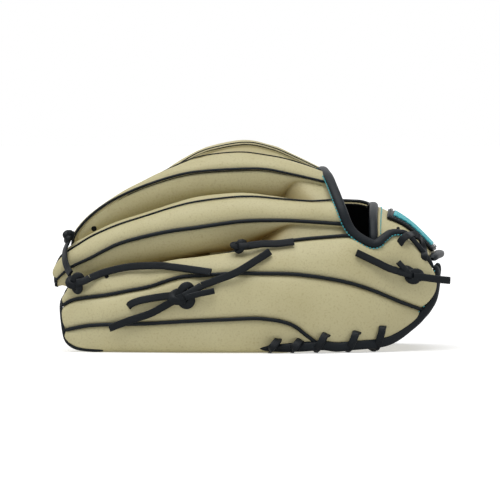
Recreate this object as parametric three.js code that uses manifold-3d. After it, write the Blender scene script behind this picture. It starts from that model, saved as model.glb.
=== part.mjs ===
import * as THREE from 'three';
import { mergeVertices } from 'three/addons/utils/BufferGeometryUtils.js';
import Module from 'manifold-3d';

const solids = await Module();
solids.setup();

// A left-hand baseball fielder's mitt, lying palm down on a level floor.
// X runs from the fingertips (-X) to the wrist (+X), Y from the little-finger side (-Y) to the
// thumb side (+Y), and Z up from the floor. All lengths are in millimetres.

// Driving sizes: fingertip to heel, edge to edge over the heel, and the top of the index finger.
const LENGTH = 290;
const WIDTH = 190;
const HEIGHT = 160;

// Leather, lining, stuffing and trim.
const LEATHER = 2.6;
const SIDE_LEATHER = 1.8;
const LINING = 1.4;
const GAP = 0.4;
const WELT = 3.6;
const BINDING = 6.6;
const LACE = 4.6;

// Colours.
const CREAM = 0xcdc8a2;
const CREAM_SHADE = 0xb9b084;
const BLACK = 0x1e262b;
const FELT = 0xd9d4c6;
const PLASTIC = 0x2b2b2b;
const TURQUOISE = 0x4fc4cf;

const cream = new THREE.MeshStandardMaterial({ color: CREAM, roughness: 0.55, metalness: 0 });
const sideCream = new THREE.MeshStandardMaterial({ color: CREAM_SHADE, roughness: 0.6, metalness: 0 });
const black = new THREE.MeshStandardMaterial({ color: BLACK, roughness: 0.5, metalness: 0 });
const felt = new THREE.MeshStandardMaterial({ color: FELT, roughness: 0.95, metalness: 0 });
const plastic = new THREE.MeshStandardMaterial({ color: PLASTIC, roughness: 0.4, metalness: 0 });
const turquoise = new THREE.MeshStandardMaterial({ color: TURQUOISE, roughness: 0.35, metalness: 0 });

// Seam lines, each from the fingertip to the base, as percent of LENGTH, WIDTH and HEIGHT.
const indexUpperShares = [
  [-41.4, 14.2, 49.4], [-40.3, 14.7, 56.2], [-37.2, 15.3, 63.4], [-32.8, 15.8, 71.2],
  [-27.6, 15.8, 79.1], [-21.4, 15.5, 86.2], [-15.5, 15.3, 91.2], [-9.7, 15, 94.7],
  [0, 14.7, 97.5], [6.9, 14.5, 95.6], [12.4, 13.9, 91.9], [20, 12.6, 85.6],
];
const indexLowerShares = [
  [-41.7, 7.4, 50], [-40.7, 6.8, 57.5], [-37.6, 5.8, 65], [-33.1, 4.7, 73.1],
  [-27.6, 3.4, 81.2], [-21.4, 2.1, 88.1], [-15.5, 1.3, 92.9], [-9.7, 0.8, 96.2],
  [0, 0.5, 98.8], [6.9, 0.8, 96.9], [12.4, 1.3, 93.1], [20, 2.6, 86.9],
];
const middleUpperShares = [
  [-44.8, -4.2, 51.9], [-43.6, -3.4, 57.5], [-40.7, -3.2, 63.8], [-35.9, -3.7, 71.6],
  [-30.3, -4.5, 79.1], [-24.5, -5.5, 85.3], [-17.2, -6.6, 90.6], [-11, -7.4, 92.8],
  [-1.7, -7.9, 93.8], [5.2, -7.6, 92.5], [12.1, -6.8, 90.3], [21.4, -5.3, 85.6],
];
const middleLowerShares = [
  [-45.3, -9.5, 49.4], [-44.5, -10.5, 54.7], [-40.9, -11.6, 62.5], [-35.9, -12.6, 69.4],
  [-30.3, -13.7, 74.6], [-24.5, -14.5, 78.8], [-17.2, -15.3, 82.8], [-11, -15.8, 84.6],
  [-1.7, -16.3, 85.6], [5.2, -16.3, 85.6], [12.4, -15.8, 83.1], [21.4, -14.2, 79.4],
];
const ringUpperShares = [
  [-49.5, -17.4, 38.8], [-47.8, -18.2, 44.7], [-44.4, -18.9, 48.8], [-40, -20, 53.8],
  [-33.4, -21.6, 59.1], [-26.6, -22.9, 63.1], [-18.6, -24.2, 67.7], [-11.6, -25.3, 70.6],
  [0, -26.1, 72.8], [9.7, -25.8, 71.6], [17.2, -24.7, 70.6], [24.1, -23.7, 71.2],
];
const ringLowerShares = [
  [-49.3, -22.6, 32.8], [-47.9, -23.9, 35.3], [-45.2, -25.3, 39.4], [-40.3, -26.6, 43.6],
  [-33.4, -28.4, 50], [-27.2, -30.3, 53.4], [-19.7, -31.8, 56.4], [-12.6, -32.9, 58.2],
  [-0.7, -33.7, 61.2], [9.7, -33.4, 61.6], [17.2, -32.1, 60.9], [26.2, -29.5, 59.7],
];
const pinkyUpperShares = [
  [-46.9, -27.4, 25], [-45.2, -28.9, 29.4], [-41.4, -30.5, 33.1], [-35.9, -32.4, 37.5],
  [-30.3, -33.9, 40], [-24.5, -35.3, 41.9], [-17.2, -36.6, 44.1], [-11, -37.4, 45.6],
  [-3.4, -38.2, 47.5], [4.5, -38.4, 50], [14.1, -37.4, 52.8], [28.6, -32.1, 54.4],
  [34.1, -31.1, 50.9], [41, -26.8, 48.8], [50, -18, 41.4],
];
const pinkySeamShares = [
  [-47.6, -32.1, 21.2], [-44.8, -34.2, 24.1], [-40.7, -36.3, 25.6], [-35.5, -38.4, 26.9],
  [-30.3, -40.3, 28.8], [-24.5, -42.1, 30.9], [-17.2, -44.2, 35.2], [-11, -45.3, 36.2],
  [-3.4, -46.3, 37.2], [4.5, -46.6, 37.2], [14.1, -45.5, 36.6], [25.2, -42.1, 33.4],
  [32.8, -38.4, 29.2], [40.3, -32.1, 23.4], [46.9, -24.2, 18.8],
];
const pinkyLowerShares = [
  [-46.9, -35.8, 10], [-44.1, -37.9, 11.2], [-40.3, -40, 12.5], [-35.5, -42.4, 13.1],
  [-30.3, -44.5, 13.4], [-24.5, -46.3, 13.8], [-17.2, -48.2, 14.7], [-11, -49.2, 15.3],
  [-3.4, -50, 15.9], [4.5, -50.3, 16.2], [12.4, -48.9, 13.1], [20, -46.3, 6.3],
  [29.3, -41.6, 6.3], [37.2, -34.7, 7.2], [43.8, -26.8, 13.8], [47.6, -23.7, 19.4],
];
const pinkyFootShares = [
  [-45.5, -34.7, 3.1], [-42.8, -36.8, 1.9], [-39, -38.4, 0], [-34.5, -40, 0],
  [-29.7, -41.8, 0], [-24.1, -43.4, 0], [-17.2, -45, 0], [-11, -45.8, 0],
  [-3.4, -46.3, 0], [4.5, -46.1, 0], [12.4, -44.7, 0], [20, -42.1, 3.9],
  [29.3, -37.9, 4], [36.9, -31.6, 5.6], [43.1, -24.2, 11.9], [47.4, -21.1, 20.6],
];
const pinkyInnerFootShares = [
  [-45.2, -31.6, 3.8], [-42.4, -32.6, 1.9], [-38.6, -33.2, 0], [-34.1, -33.9, 0],
  [-29.3, -34.9, 0], [-23.8, -35.9, 0], [-16.9, -36.8, 0], [-10.7, -37.4, 0],
];
const thumbUpperShares = [
  [-24.1, 26.3, 22.5], [-22.4, 27.9, 27.5], [-19.3, 29.5, 31.9], [-15.5, 31.1, 35.6],
  [-11, 32.4, 40], [-6.2, 33.2, 45], [-1.4, 32.9, 51.2], [4.1, 31.6, 58.8],
  [10.3, 29.5, 65.6], [17.2, 27.4, 70.6], [25.9, 25.3, 70.6], [33.1, 24.2, 65],
  [41, 22.1, 57.5], [50.5, 16.6, 43.4],
];
const thumbSeamShares = [
  [-25.2, 31.6, 18.8], [-22.8, 34.7, 21.9], [-19.3, 37.4, 24.1], [-15.5, 39.5, 26.2],
  [-11, 41.6, 28.8], [-6.2, 43.7, 31.9], [-1.4, 44.7, 35], [4.1, 45.3, 38.1],
  [10.3, 44.7, 40.6], [17.2, 43.2, 41.2], [25.9, 40, 38.8], [33.8, 36.3, 33.1],
  [41, 31.1, 26.2], [48.6, 24.7, 21.2],
];
const thumbLowerShares = [
  [-24.5, 34.7, 8.8], [-22.1, 37.4, 10], [-18.6, 40, 11.2], [-14.8, 42.1, 12.5],
  [-10.3, 44.2, 13.8], [-5.5, 46.1, 14.7], [-0.7, 47.4, 15.6], [4.8, 47.9, 15.9],
  [11, 47.4, 13.1], [18.6, 45.3, 6.3], [28.3, 41.6, 6.3], [36.6, 35.8, 7.2],
  [42.8, 28.9, 12.5], [45.9, 24.7, 18.1],
];
const thumbFootShares = [
  [-23.4, 32.6, 2.5], [-21.4, 34.7, 1.2], [-18.3, 36.8, 0], [-14.5, 38.7, 0],
  [-10, 40.5, 0], [-5.2, 42.1, 0], [-0.3, 43.2, 0], [5.2, 43.7, 0],
  [11.4, 43.2, 0], [18.6, 41.6, 3.9], [28.3, 37.9, 4], [36.2, 32.1, 5.6],
  [42.2, 25.3, 10.8], [45.2, 21.6, 15.8],
];
const thumbInnerFootShares = [
  [-23.1, 28.2, 3.1], [-21, 29, 1.2], [-18, 29.7, 0], [-14.1, 30.4, 0],
  [-9.7, 31, 0], [-4.8, 31.5, 0], [-1, 31.7, 0],
];

// The pocket, as arches across the palm: place along X, near foot, apex and far foot in Y, then
// the height of the foot and of the apex.
const pocketShares = [
  [-30, -33, 8, 28, 0, 62], [-15.5, -36.8, 7.4, 30.5, 0, 73.8], [-10.7, -37.4, 7.4, 31.2, 0, 76.2],
  [-3.4, -37.6, 7.1, 31.6, 0, 75], [4.5, -37.4, 6.6, 32, 0, 70.6], [12.4, -36.3, 5.8, 31.6, 0, 65],
  [20, -34.7, 4.7, 30.5, 3.9, 58.8], [29.3, -31.6, 3.7, 28, 4, 50], [37.2, -26.8, 2.6, 25, 5.6, 41.2],
  [44.1, -21.1, 2.1, 21.5, 12.5, 35], [49.3, -14.7, 1.6, 16, 23.8, 31.2],
];
const ARCH_POWER = 1.21;

// How deep each stall is, from back leather to palm leather, at each row of its seam lines.
const STALL_DEPTH = 27;
const depthShares = [0.26, 0.54, 0.75, 0.89, 0.96, 1, 1, 1, 1, 1, 1, 1, 1, 1, 1];
// The direction from palm to back in each stall, in degrees from upright toward the near side.
const INDEX_TILT = -3;
const MIDDLE_TILT = 22;
const RING_TILT = 46;
const PINKY_TILT = 62;
const THUMB_TILT = -72;

function place(share) {
  return new THREE.Vector3(LENGTH * share[0] / 100, WIDTH * share[1] / 100, HEIGHT * share[2] / 100);
}

// A smooth line through a table of places, read by row number.
function seam(shares) {
  const curve = new THREE.CatmullRomCurve3(shares.map(place), false, 'catmullrom', 0.5);
  const last = shares.length - 1;
  return (row) => curve.getPoint(Math.min(1, Math.max(0, row / last)));
}

function between(a, b, share) {
  return a.clone().lerp(b, share);
}

function smooth(from, to, value) {
  const t = Math.min(1, Math.max(0, (value - from) / (to - from)));
  return t * t * (3 - 2 * t);
}

function tabled(list, row) {
  const low = Math.min(list.length - 2, Math.max(0, Math.floor(row)));
  return THREE.MathUtils.lerp(list[low], list[low + 1], Math.min(1, row - low));
}

const CORE_Y_share = 0.03;
const CORE_Z_share = 0.25;
// Points away from the middle of the hand.
function outwardAt(point) {
  return new THREE.Vector3(0, point.y - WIDTH * CORE_Y_share, point.z - HEIGHT * CORE_Z_share);
}

// A stall: its two seam lines, and the matching lines on the palm side.
function stall(upperShares, lowerShares, tilt) {
  const upper = seam(upperShares);
  const lower = seam(lowerShares);
  const angle = THREE.MathUtils.degToRad(tilt);
  const step = 0.25;
  function depthWay(row) {
    const ahead = between(upper(row + step), lower(row + step), 0.5);
    const behind = between(upper(row - step), lower(row - step), 0.5);
    const along = ahead.sub(behind).normalize();
    const way = new THREE.Vector3(0, -Math.sin(angle), Math.cos(angle));
    return way.addScaledVector(along, -way.dot(along)).normalize();
  }
  function inner(line, row) {
    return line(row).addScaledVector(depthWay(row), -STALL_DEPTH * tabled(depthShares, row));
  }
  return {
    upper,
    lower,
    innerUpper: (row) => inner(upper, row),
    innerLower: (row) => inner(lower, row),
  };
}

const index = stall(indexUpperShares, indexLowerShares, INDEX_TILT);
const middle = stall(middleUpperShares, middleLowerShares, MIDDLE_TILT);
const ring = stall(ringUpperShares, ringLowerShares, RING_TILT);
const pinky = stall(pinkyUpperShares, pinkySeamShares, PINKY_TILT);
const thumb = stall(thumbUpperShares, thumbSeamShares, THUMB_TILT);
const pinkyLower = seam(pinkyLowerShares);
const pinkyFoot = seam(pinkyFootShares);
const pinkyInnerFoot = seam(pinkyInnerFootShares);
const thumbLower = seam(thumbLowerShares);
const thumbFoot = seam(thumbFootShares);
const thumbInnerFoot = seam(thumbInnerFootShares);

// A point of the pocket at x, by angle across it: 0 at the near foot, 180 at the far foot.
function pocket(x, degrees) {
  const stations = pocketShares.map((row) => row[0] * LENGTH / 100);
  let low = 0;
  while (low < stations.length - 2 && x > stations[low + 1]) {
    low += 1;
  }
  const t = (x - stations[low]) / (stations[low + 1] - stations[low]);
  const ahead = pocketShares[low + 1];
  const row = pocketShares[low].map((value, i) => THREE.MathUtils.lerp(value, ahead[i], t));
  const [near, apex, far] = row.slice(1, 4).map((value) => value * WIDTH / 100);
  const [foot, top] = row.slice(4).map((value) => value * HEIGHT / 100);
  const angle = THREE.MathUtils.degToRad(degrees);
  const across = Math.pow(Math.abs(Math.cos(angle)), ARCH_POWER);
  const up = Math.pow(Math.abs(Math.sin(angle)), ARCH_POWER);
  const y = degrees < 90 ? apex + (near - apex) * across : apex + (far - apex) * across;
  return new THREE.Vector3(x, y, foot + (top - foot) * up);
}

// Normals of a grid of points, on the side that outward points to. Next to an open cell only
// the leather that is there counts.
function gridNormals(grid, outward, keep = () => true) {
  const rows = grid.length;
  const columns = grid[0].length;
  const kept = (i, j) => i >= 0 && j >= 0 && i < rows - 1 && j < columns - 1 && keep(i, j);
  const normals = grid.map((line, i) => line.map((point, j) => {
    const right = kept(i, j) || kept(i - 1, j);
    const left = kept(i, j - 1) || kept(i - 1, j - 1);
    const ahead = kept(i, j) || kept(i, j - 1);
    const behind = kept(i - 1, j) || kept(i - 1, j - 1);
    const alone = !(right || left);
    const a = grid[ahead || alone ? Math.min(rows - 1, i + 1) : i][j];
    const b = grid[behind || alone ? Math.max(0, i - 1) : i][j];
    const c = line[right || alone ? Math.min(columns - 1, j + 1) : j];
    const d = line[left || alone ? Math.max(0, j - 1) : j];
    return a.clone().sub(b).cross(c.clone().sub(d)).normalize();
  }));
  const column = outward.column ?? Math.floor(columns / 2);
  const flip = normals[Math.floor(rows / 2)][column].dot(outward.way) < 0 ? -1 : 1;
  normals.forEach((line) => line.forEach((normal) => normal.multiplyScalar(flip)));
  return { normals, flip };
}

function behind(grid, distance, outward) {
  const { normals } = gridNormals(grid, outward);
  return grid.map((line, i) => line.map((point, j) => (
    point.clone().addScaledVector(normals[i][j], -distance)
  )));
}

// Turns a grid of points into a closed sheet of leather. The grid is its outer face and the
// thickness is laid behind it; keep says which cells are there.
function sheet(name, grid, thickness, outward, material, keep = () => true) {
  const rows = grid.length;
  const columns = grid[0].length;
  const { normals, flip } = gridNormals(grid, outward, keep);
  const positions = [];
  for (const layer of [0, 1]) {
    grid.forEach((line, i) => line.forEach((point, j) => {
      const p = point.clone().addScaledVector(normals[i][j], -layer * thickness);
      positions.push(p.x, p.y, Math.max(0, p.z));
    }));
  }
  const at = (layer, i, j) => layer * rows * columns + i * columns + j;
  const kept = (i, j) => i >= 0 && j >= 0 && i < rows - 1 && j < columns - 1 && keep(i, j);
  const indices = [];
  const quad = (a, b, c, d) => {
    if (flip > 0) {
      indices.push(a, b, c, a, c, d);
    } else {
      indices.push(a, c, b, a, d, c);
    }
  };
  for (let i = 0; i < rows - 1; i += 1) {
    for (let j = 0; j < columns - 1; j += 1) {
      if (kept(i, j)) {
        quad(at(0, i, j), at(0, i + 1, j), at(0, i + 1, j + 1), at(0, i, j + 1));
        quad(at(1, i, j), at(1, i, j + 1), at(1, i + 1, j + 1), at(1, i + 1, j));
        if (!kept(i - 1, j)) {
          quad(at(0, i, j), at(0, i, j + 1), at(1, i, j + 1), at(1, i, j));
        }
        if (!kept(i + 1, j)) {
          quad(at(0, i + 1, j + 1), at(0, i + 1, j), at(1, i + 1, j), at(1, i + 1, j + 1));
        }
        if (!kept(i, j - 1)) {
          quad(at(0, i + 1, j), at(0, i, j), at(1, i, j), at(1, i + 1, j));
        }
        if (!kept(i, j + 1)) {
          quad(at(0, i, j + 1), at(0, i + 1, j + 1), at(1, i + 1, j + 1), at(1, i, j + 1));
        }
      }
    }
  }
  const geometry = new THREE.BufferGeometry();
  geometry.setAttribute('position', new THREE.Float32BufferAttribute(positions, 3));
  geometry.setIndex(indices);
  geometry.computeVertexNormals();
  const mesh = new THREE.Mesh(geometry, material);
  mesh.name = name;
  return mesh;
}

// A round cord or edging along a line of points, with closed ends.
function tube(name, points, diameter, material, sides = 6, rings = 0) {
  const curve = new THREE.CatmullRomCurve3(points, false, 'centripetal');
  const count = rings || points.length * 2;
  const frames = [];
  let side = null;
  for (let i = 0; i <= count; i += 1) {
    const centre = curve.getPoint(i / count);
    const way = curve.getTangent(i / count);
    if (side === null) {
      side = new THREE.Vector3(0, 0, 1).cross(way);
      if (side.length() < GAP) {
        side = new THREE.Vector3(0, 1, 0);
      }
    }
    side.addScaledVector(way, -side.dot(way)).normalize();
    frames.push([centre, side.clone(), way.clone().cross(side).normalize()]);
  }
  const positions = [];
  frames.forEach(([centre, across, up]) => {
    for (let k = 0; k < sides; k += 1) {
      const angle = 2 * Math.PI * (k + 0.5) / sides;
      const p = centre.clone().addScaledVector(across, Math.cos(angle) * diameter / 2);
      p.addScaledVector(up, Math.sin(angle) * diameter / 2);
      positions.push(p.x, p.y, p.z);
    }
  });
  const indices = [];
  for (let i = 0; i < count; i += 1) {
    for (let k = 0; k < sides; k += 1) {
      const next = (k + 1) % sides;
      const a = i * sides + k;
      const b = i * sides + next;
      indices.push(a, b, b + sides, a, b + sides, a + sides);
    }
  }
  for (let k = 1; k < sides - 1; k += 1) {
    indices.push(0, k + 1, k);
    const end = count * sides;
    indices.push(end, end + k, end + k + 1);
  }
  const geometry = new THREE.BufferGeometry();
  geometry.setAttribute('position', new THREE.Float32BufferAttribute(positions, 3));
  geometry.setIndex(indices);
  geometry.computeVertexNormals();
  const mesh = new THREE.Mesh(geometry, material);
  mesh.name = name;
  return mesh;
}

function solidOf(mesh) {
  const bare = new THREE.BufferGeometry();
  bare.setAttribute('position', mesh.geometry.getAttribute('position'));
  bare.setIndex(mesh.geometry.getIndex());
  const merged = mergeVertices(bare);
  return new solids.Manifold(new solids.Mesh({
    numProp: 3,
    vertProperties: merged.getAttribute('position').array,
    triVerts: new Uint32Array(merged.getIndex().array),
  }));
}

// Cuts the shape of one mesh out of another.
function pierce(mesh, cutter) {
  const cut = solidOf(mesh).subtract(solidOf(cutter)).getMesh();
  const geometry = new THREE.BufferGeometry();
  const positions = new Float32Array(cut.vertProperties);
  geometry.setAttribute('position', new THREE.BufferAttribute(positions, 3));
  geometry.setIndex(new THREE.BufferAttribute(new Uint32Array(cut.triVerts), 1));
  geometry.computeVertexNormals();
  const pierced = new THREE.Mesh(geometry, mesh.material);
  pierced.name = mesh.name;
  return pierced;
}

function steps(from, to, count) {
  return Array.from({ length: count + 1 }, (_, i) => from + (to - from) * i / count);
}

const TIP_ROW = 0.35;
const LAST_ROW = 11;

// The leather between two seam lines, kept clear of the welt or binding on each of them.
function panelGrid(upper, lower, rows, bulgeShare, edges, columns = 4) {
  const step = 0.2;
  return rows.map((row) => {
    const a = upper(row);
    const b = lower(row);
    const along = between(upper(row + step), lower(row + step), 0.5);
    along.sub(between(upper(row - step), lower(row - step), 0.5));
    const chord = b.clone().sub(a);
    const normal = along.cross(chord).normalize();
    if (normal.dot(outwardAt(a)) < 0) {
      normal.negate();
    }
    const width = chord.length();
    return steps(edges[0](row) / width, 1 - edges[1](row) / width, columns).map((v) => (
      between(a, b, v).addScaledVector(normal, 4 * v * (1 - v) * bulgeShare * width)
    ));
  });
}

function facing(grid) {
  const line = grid[Math.floor(grid.length / 2)];
  return { way: outwardAt(line[Math.floor(line.length / 2)]) };
}

function panel(name, upper, lower, rows, bulgeShare, edges) {
  const grid = panelGrid(upper, lower, rows, bulgeShare, edges);
  return sheet(name, grid, LEATHER, facing(grid), cream);
}

const weltEdge = () => WELT / 2 + 1.5 * GAP;
const bindingEdge = () => BINDING / 2 + 3 * GAP;
const trimEdge = () => BINDING / 2 + 1.5 * GAP;
// The lower edge of the heel leather meets a welt under the stall and a binding at the heel.
const BINDING_FROM = 10.4;
const heelEdge = (row) => THREE.MathUtils.lerp(weltEdge(), bindingEdge(),
  smooth(BINDING_FROM - 1.6, BINDING_FROM - 0.6, row)) + 4 * GAP * smooth(12, 13, row);

// The side leather between two stalls: down one stall, across, and up the next. Short of the
// crotch it is open between the stalls; past it the floor rises to the back of the hand.
const SLIT_ROW = 7.5;
const DEEP_share = 0.86;
const SHALLOW_share = 0.16;
const SIDE_STEPS = 3;
function gussetGrid(high, low, rows, shape) {
  return rows.map((row) => {
    const other = shape.lowRow(row);
    const risen = smooth(shape.rise, shape.crotch, row);
    const reach = THREE.MathUtils.lerp(DEEP_share, SHALLOW_share, risen);
    const pairs = [[high, row], [low, other]].map(([edge, at]) => {
      const top = edge.outer(at);
      const straightIn = top.clone().addScaledVector(outwardAt(top).normalize(), -STALL_DEPTH);
      return [top, between(edge.inner(at), straightIn, risen)];
    });
    const across = pairs[1][0].clone().sub(pairs[0][0]);
    const side = (pair, sign) => {
      const tall = pair[0].distanceTo(pair[1]);
      const bottom = (tall - LEATHER - 2 * GAP - SIDE_LEATHER - shape.spare) / tall;
      return steps(weltEdge() / tall, Math.min(reach, bottom), SIDE_STEPS).map((v) => {
        const swell = across.clone().multiplyScalar(4 * v * (1 - v) * shape.swellShare * sign);
        return between(pair[0], pair[1], v).add(swell);
      });
    };
    const down = side(pairs[0], 1);
    const up = side(pairs[1], -1).reverse();
    const from = down[SIDE_STEPS];
    const to = up[0];
    const lift = outwardAt(between(from, to, 0.5)).normalize();
    const span = from.distanceTo(to) * shape.archShare * (1 + risen) / 2;
    const floor = steps(0, 1, shape.floorSteps).slice(1, -1).map((v) => (
      between(from, to, v).addScaledVector(lift, 4 * v * (1 - v) * span)
    ));
    return [...down, ...floor, ...up];
  });
}

function gusset(name, grid, rows, floorSteps, toward) {
  const mid = Math.floor(rows.length / 2);
  const way = grid[mid][toward].clone().sub(grid[mid][0]);
  const openCell = (j) => j >= SIDE_STEPS && j < SIDE_STEPS + floorSteps;
  return sheet(name, grid, SIDE_LEATHER, { way, column: 1 }, sideCream,
    (i, j) => !(openCell(j) && rows[i + 1] <= SLIT_ROW));
}

const STALL_ROWS = [
  TIP_ROW, 0.8, 1.4, 2, 2.7, 3.5, 4.3, 5.1, 5.9, 6.7, 7.5, 8.2, 8.9, 9.6, 10.3, LAST_ROW,
];
const sameRow = (row) => row;
const GUSSET_ROWS = [1.2, 1.6, ...STALL_ROWS.slice(3)];

function backs() {
  const edges = [weltEdge, weltEdge];
  const heelRows = [...STALL_ROWS, 11.7, 12.4, 13.1, 13.65];
  return [
    panel('index_back', index.upper, index.lower, STALL_ROWS, 0.13, edges),
    panel('middle_back', middle.upper, middle.lower, STALL_ROWS, 0.12, edges),
    panel('ring_back', ring.upper, ring.lower, STALL_ROWS, 0.14, edges),
    panel('pinky_back', pinky.upper, pinky.lower, heelRows, 0.1, edges),
    panel('pinky_outer_back', pinky.lower, pinkyLower, heelRows, 0.07, [weltEdge, heelEdge]),
  ];
}

function edgePair(line, inner) {
  return { outer: line, inner };
}

// Each row is a crotch between two fingers: name, neighbours, and the rows where the floor
// between them starts to rise and where it reaches the back of the hand.
function gussets() {
  const valleys = [
    ['index_middle_gusset', 'indexLower', 'middleUpper', 8.3, 10, 0.06],
    ['middle_ring_gusset', 'middleLower', 'ringUpper', 8.2, 9.7, 0.1],
    ['ring_pinky_gusset', 'ringLower', 'pinkyUpper', 7.8, 9, 0.1],
  ];
  return valleys.map(([name, high, low, rise, crotch, swellShare]) => {
    const shape = { lowRow: sameRow, rise, crotch, swellShare, archShare: 0, floorSteps: 2, spare: 0 };
    const [highEdge, lowEdge] = [high, low].map((key) => edgePair(backLines[key], palmLines[key]));
    const grid = gussetGrid(highEdge, lowEdge, GUSSET_ROWS, shape);
    return gusset(name, grid, GUSSET_ROWS, shape.floorSteps, SIDE_STEPS * 2 + 2);
  });
}

// Rows of the thumb's seams that lie level with rows of the index finger's seams.
const THUMB_CROTCH_ROW = 4.9;
const THUMB_BASE_ROW = 9.3;
function thumbRow(row) {
  if (row < SLIT_ROW) {
    return row * THUMB_CROTCH_ROW / SLIT_ROW;
  }
  return THREE.MathUtils.mapLinear(row, SLIT_ROW, LAST_ROW, THUMB_CROTCH_ROW, THUMB_BASE_ROW);
}

// The wide side leather between index finger and thumb is two pieces, parted along the line on
// which the thumb side turns.
const BACK_GAP = 3.2;
function webSides() {
  const floorSteps = 6;
  const shape = {
    lowRow: thumbRow, rise: 7.5, crotch: 8.4, swellShare: 0, archShare: 0.1, floorSteps, spare: 4 * GAP,
  };
  const indexSide = edgePair(index.upper, palmLines.indexUpper);
  const thumbSide = edgePair(thumb.upper, palmLines.thumbUpper);
  const grid = gussetGrid(indexSide, thumbSide, GUSSET_ROWS, shape);
  const split = SIDE_STEPS + floorSteps / 2;
  const last = SIDE_STEPS * 2 + floorSteps;
  const part = (from, to, toward) => grid.map((line) => line.slice(from, to + 1).map((point, j) => {
    if (from + j !== split) {
      return point;
    }
    const way = line[toward].clone().sub(point).normalize();
    return point.clone().addScaledVector(way, BACK_GAP / 2);
  }));
  const indexGrid = part(0, split, split - 1);
  const thumbGrid = part(split, last, split + 1).map((line) => line.reverse());
  return [
    gusset('index_web_gusset', indexGrid, GUSSET_ROWS, floorSteps / 2, split),
    gusset('thumb_web_gusset', thumbGrid, GUSSET_ROWS, floorSteps / 2, split),
  ];
}

// The palm leather: one piece from the little-finger edge, under the foot, through the pocket.
const PALM_ROW_X_shares = [-10.7, -3.4, 4.5, 12.4, 20, 29.3, 37.2, 44.1, 49.3];
const FIRST_POCKET_ROW = 7;
const palmX = (row) => tabled(PALM_ROW_X_shares, row - FIRST_POCKET_ROW) * LENGTH / 100;
const CREASE_GAP = 4;
const creaseAngle = (x) => THREE.MathUtils.mapLinear(x, -0.034 * LENGTH, 0.493 * LENGTH, 125, 100);

function crease(x, sign) {
  const p = pocket(x, creaseAngle(x));
  p.y += sign * CREASE_GAP / 2;
  return p;
}

function palmPoint(row, line, degrees) {
  const toPocket = smooth(5.5, 8, row);
  if (row <= 5.5) {
    return line(row);
  }
  const inPocket = pocket(palmX(row), degrees);
  if (toPocket >= 1) {
    return inPocket;
  }
  return line(Math.min(row, 8)).lerp(inPocket, toPocket);
}

const PINKY_TOP = 35;
const backLines = {
  pinkyUpper: pinky.upper,
  ringLower: ring.lower,
  ringUpper: ring.upper,
  middleLower: middle.lower,
  middleUpper: middle.upper,
  indexLower: index.lower,
  indexUpper: index.upper,
};
const palmLines = {
  pinkyUpper: (row) => palmPoint(row, pinky.innerUpper, PINKY_TOP),
  ringLower: (row) => palmPoint(row, ring.innerLower, 45),
  ringUpper: (row) => palmPoint(row, ring.innerUpper, 56),
  middleLower: (row) => palmPoint(row, middle.innerLower, 66),
  middleUpper: (row) => palmPoint(row, middle.innerUpper, 77),
  indexLower: (row) => palmPoint(row, index.innerLower, 83),
  indexUpper: indexCrease,
  thumbUpper: (row) => thumbPoint(row, thumb.innerUpper, THUMB_TOP),
};

// The far edge of the index finger's palm leather, which runs into the crease of the palm.
function indexCrease(row) {
  const edge = palmPoint(row, index.innerUpper, 110);
  if (row > FIRST_POCKET_ROW) {
    edge.lerp(crease(palmX(row), -1), smooth(FIRST_POCKET_ROW, FIRST_POCKET_ROW + 1, row));
  }
  return edge;
}

const EDGE_LIMIT_share = 0.8;
function palmRow(row) {
  const outer = pinkyLower(row);
  const foot = pinkyFoot(row);
  const edge = Math.min(EDGE_LIMIT_share, heelEdge(row) / outer.distanceTo(foot));
  const nearFoot = palmPoint(row, pinkyInnerFoot, 0);
  const pinkyTop = palmLines.pinkyUpper(row);
  const palmFace = (share, degrees) => {
    const flat = between(nearFoot, pinkyTop, share);
    return palmPoint(row, () => flat, degrees);
  };
  const middleOf = (a, b) => between(a, b, 0.5);
  const columns = [between(outer, foot, edge), between(outer, foot, (1 + edge) / 2), foot, nearFoot];
  columns.push(palmFace(0.3, 12), palmFace(0.65, 24), pinkyTop);
  const ringEdges = [palmLines.ringLower(row), palmLines.ringUpper(row)];
  const middleEdges = [palmLines.middleLower(row), palmLines.middleUpper(row)];
  const indexEdges = [palmLines.indexLower(row), palmLines.indexUpper(row)];
  for (const [low, high] of [ringEdges, middleEdges, indexEdges]) {
    columns.push(low, middleOf(low, high), high);
  }
  return columns;
}

const PALM_ROWS = [
  TIP_ROW, 0.8, 1.4, 2, 2.7, 3.5, 4.3, 5.1, 5.9, 6.7, 7.5,
  8, 8.6, 9.3, 10, 10.7, 11.4, 12.1, 12.8, 13.4, 14, 14.6,
];
const PALM_SLITS = [6, 9, 12];
function palm() {
  const grid = PALM_ROWS.map(palmRow);
  const slitEnd = 7.5;
  return sheet('palm_shell', grid, LEATHER, { way: new THREE.Vector3(0, 0, -1), column: 11 }, cream,
    (i, j) => !(PALM_SLITS.includes(j) && PALM_ROWS[i + 1] <= slitEnd));
}

// The thumb side of the palm leather, from the crease to the thumb edge of the glove.
const THUMB_ROW_X_shares = [-5.5, -1, 4.5, 10.7, 17.9, 26.9, 35.2, 42.4, 48.3];
const FIRST_THUMB_ROW = 5;
const THUMB_ROWS = [
  TIP_ROW, 0.9, 1.6, 2.4, 3.2, 4, 4.8, 5.5, 6.2, 7, 7.8, 8.6, 9.4, 10.2, 11, 11.8, 12.4, 13,
];
const THUMB_BINDING_FROM = 9.2;
const THUMB_TOP = 137;
const thumbX = (row) => tabled(THUMB_ROW_X_shares, row - FIRST_THUMB_ROW) * LENGTH / 100;
const thumbEdge = (row) => THREE.MathUtils.lerp(weltEdge(), bindingEdge(),
  smooth(THUMB_BINDING_FROM - 1.6, THUMB_BINDING_FROM - 0.6, row)) + 3 * GAP * smooth(10.6, 12, row);

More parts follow.
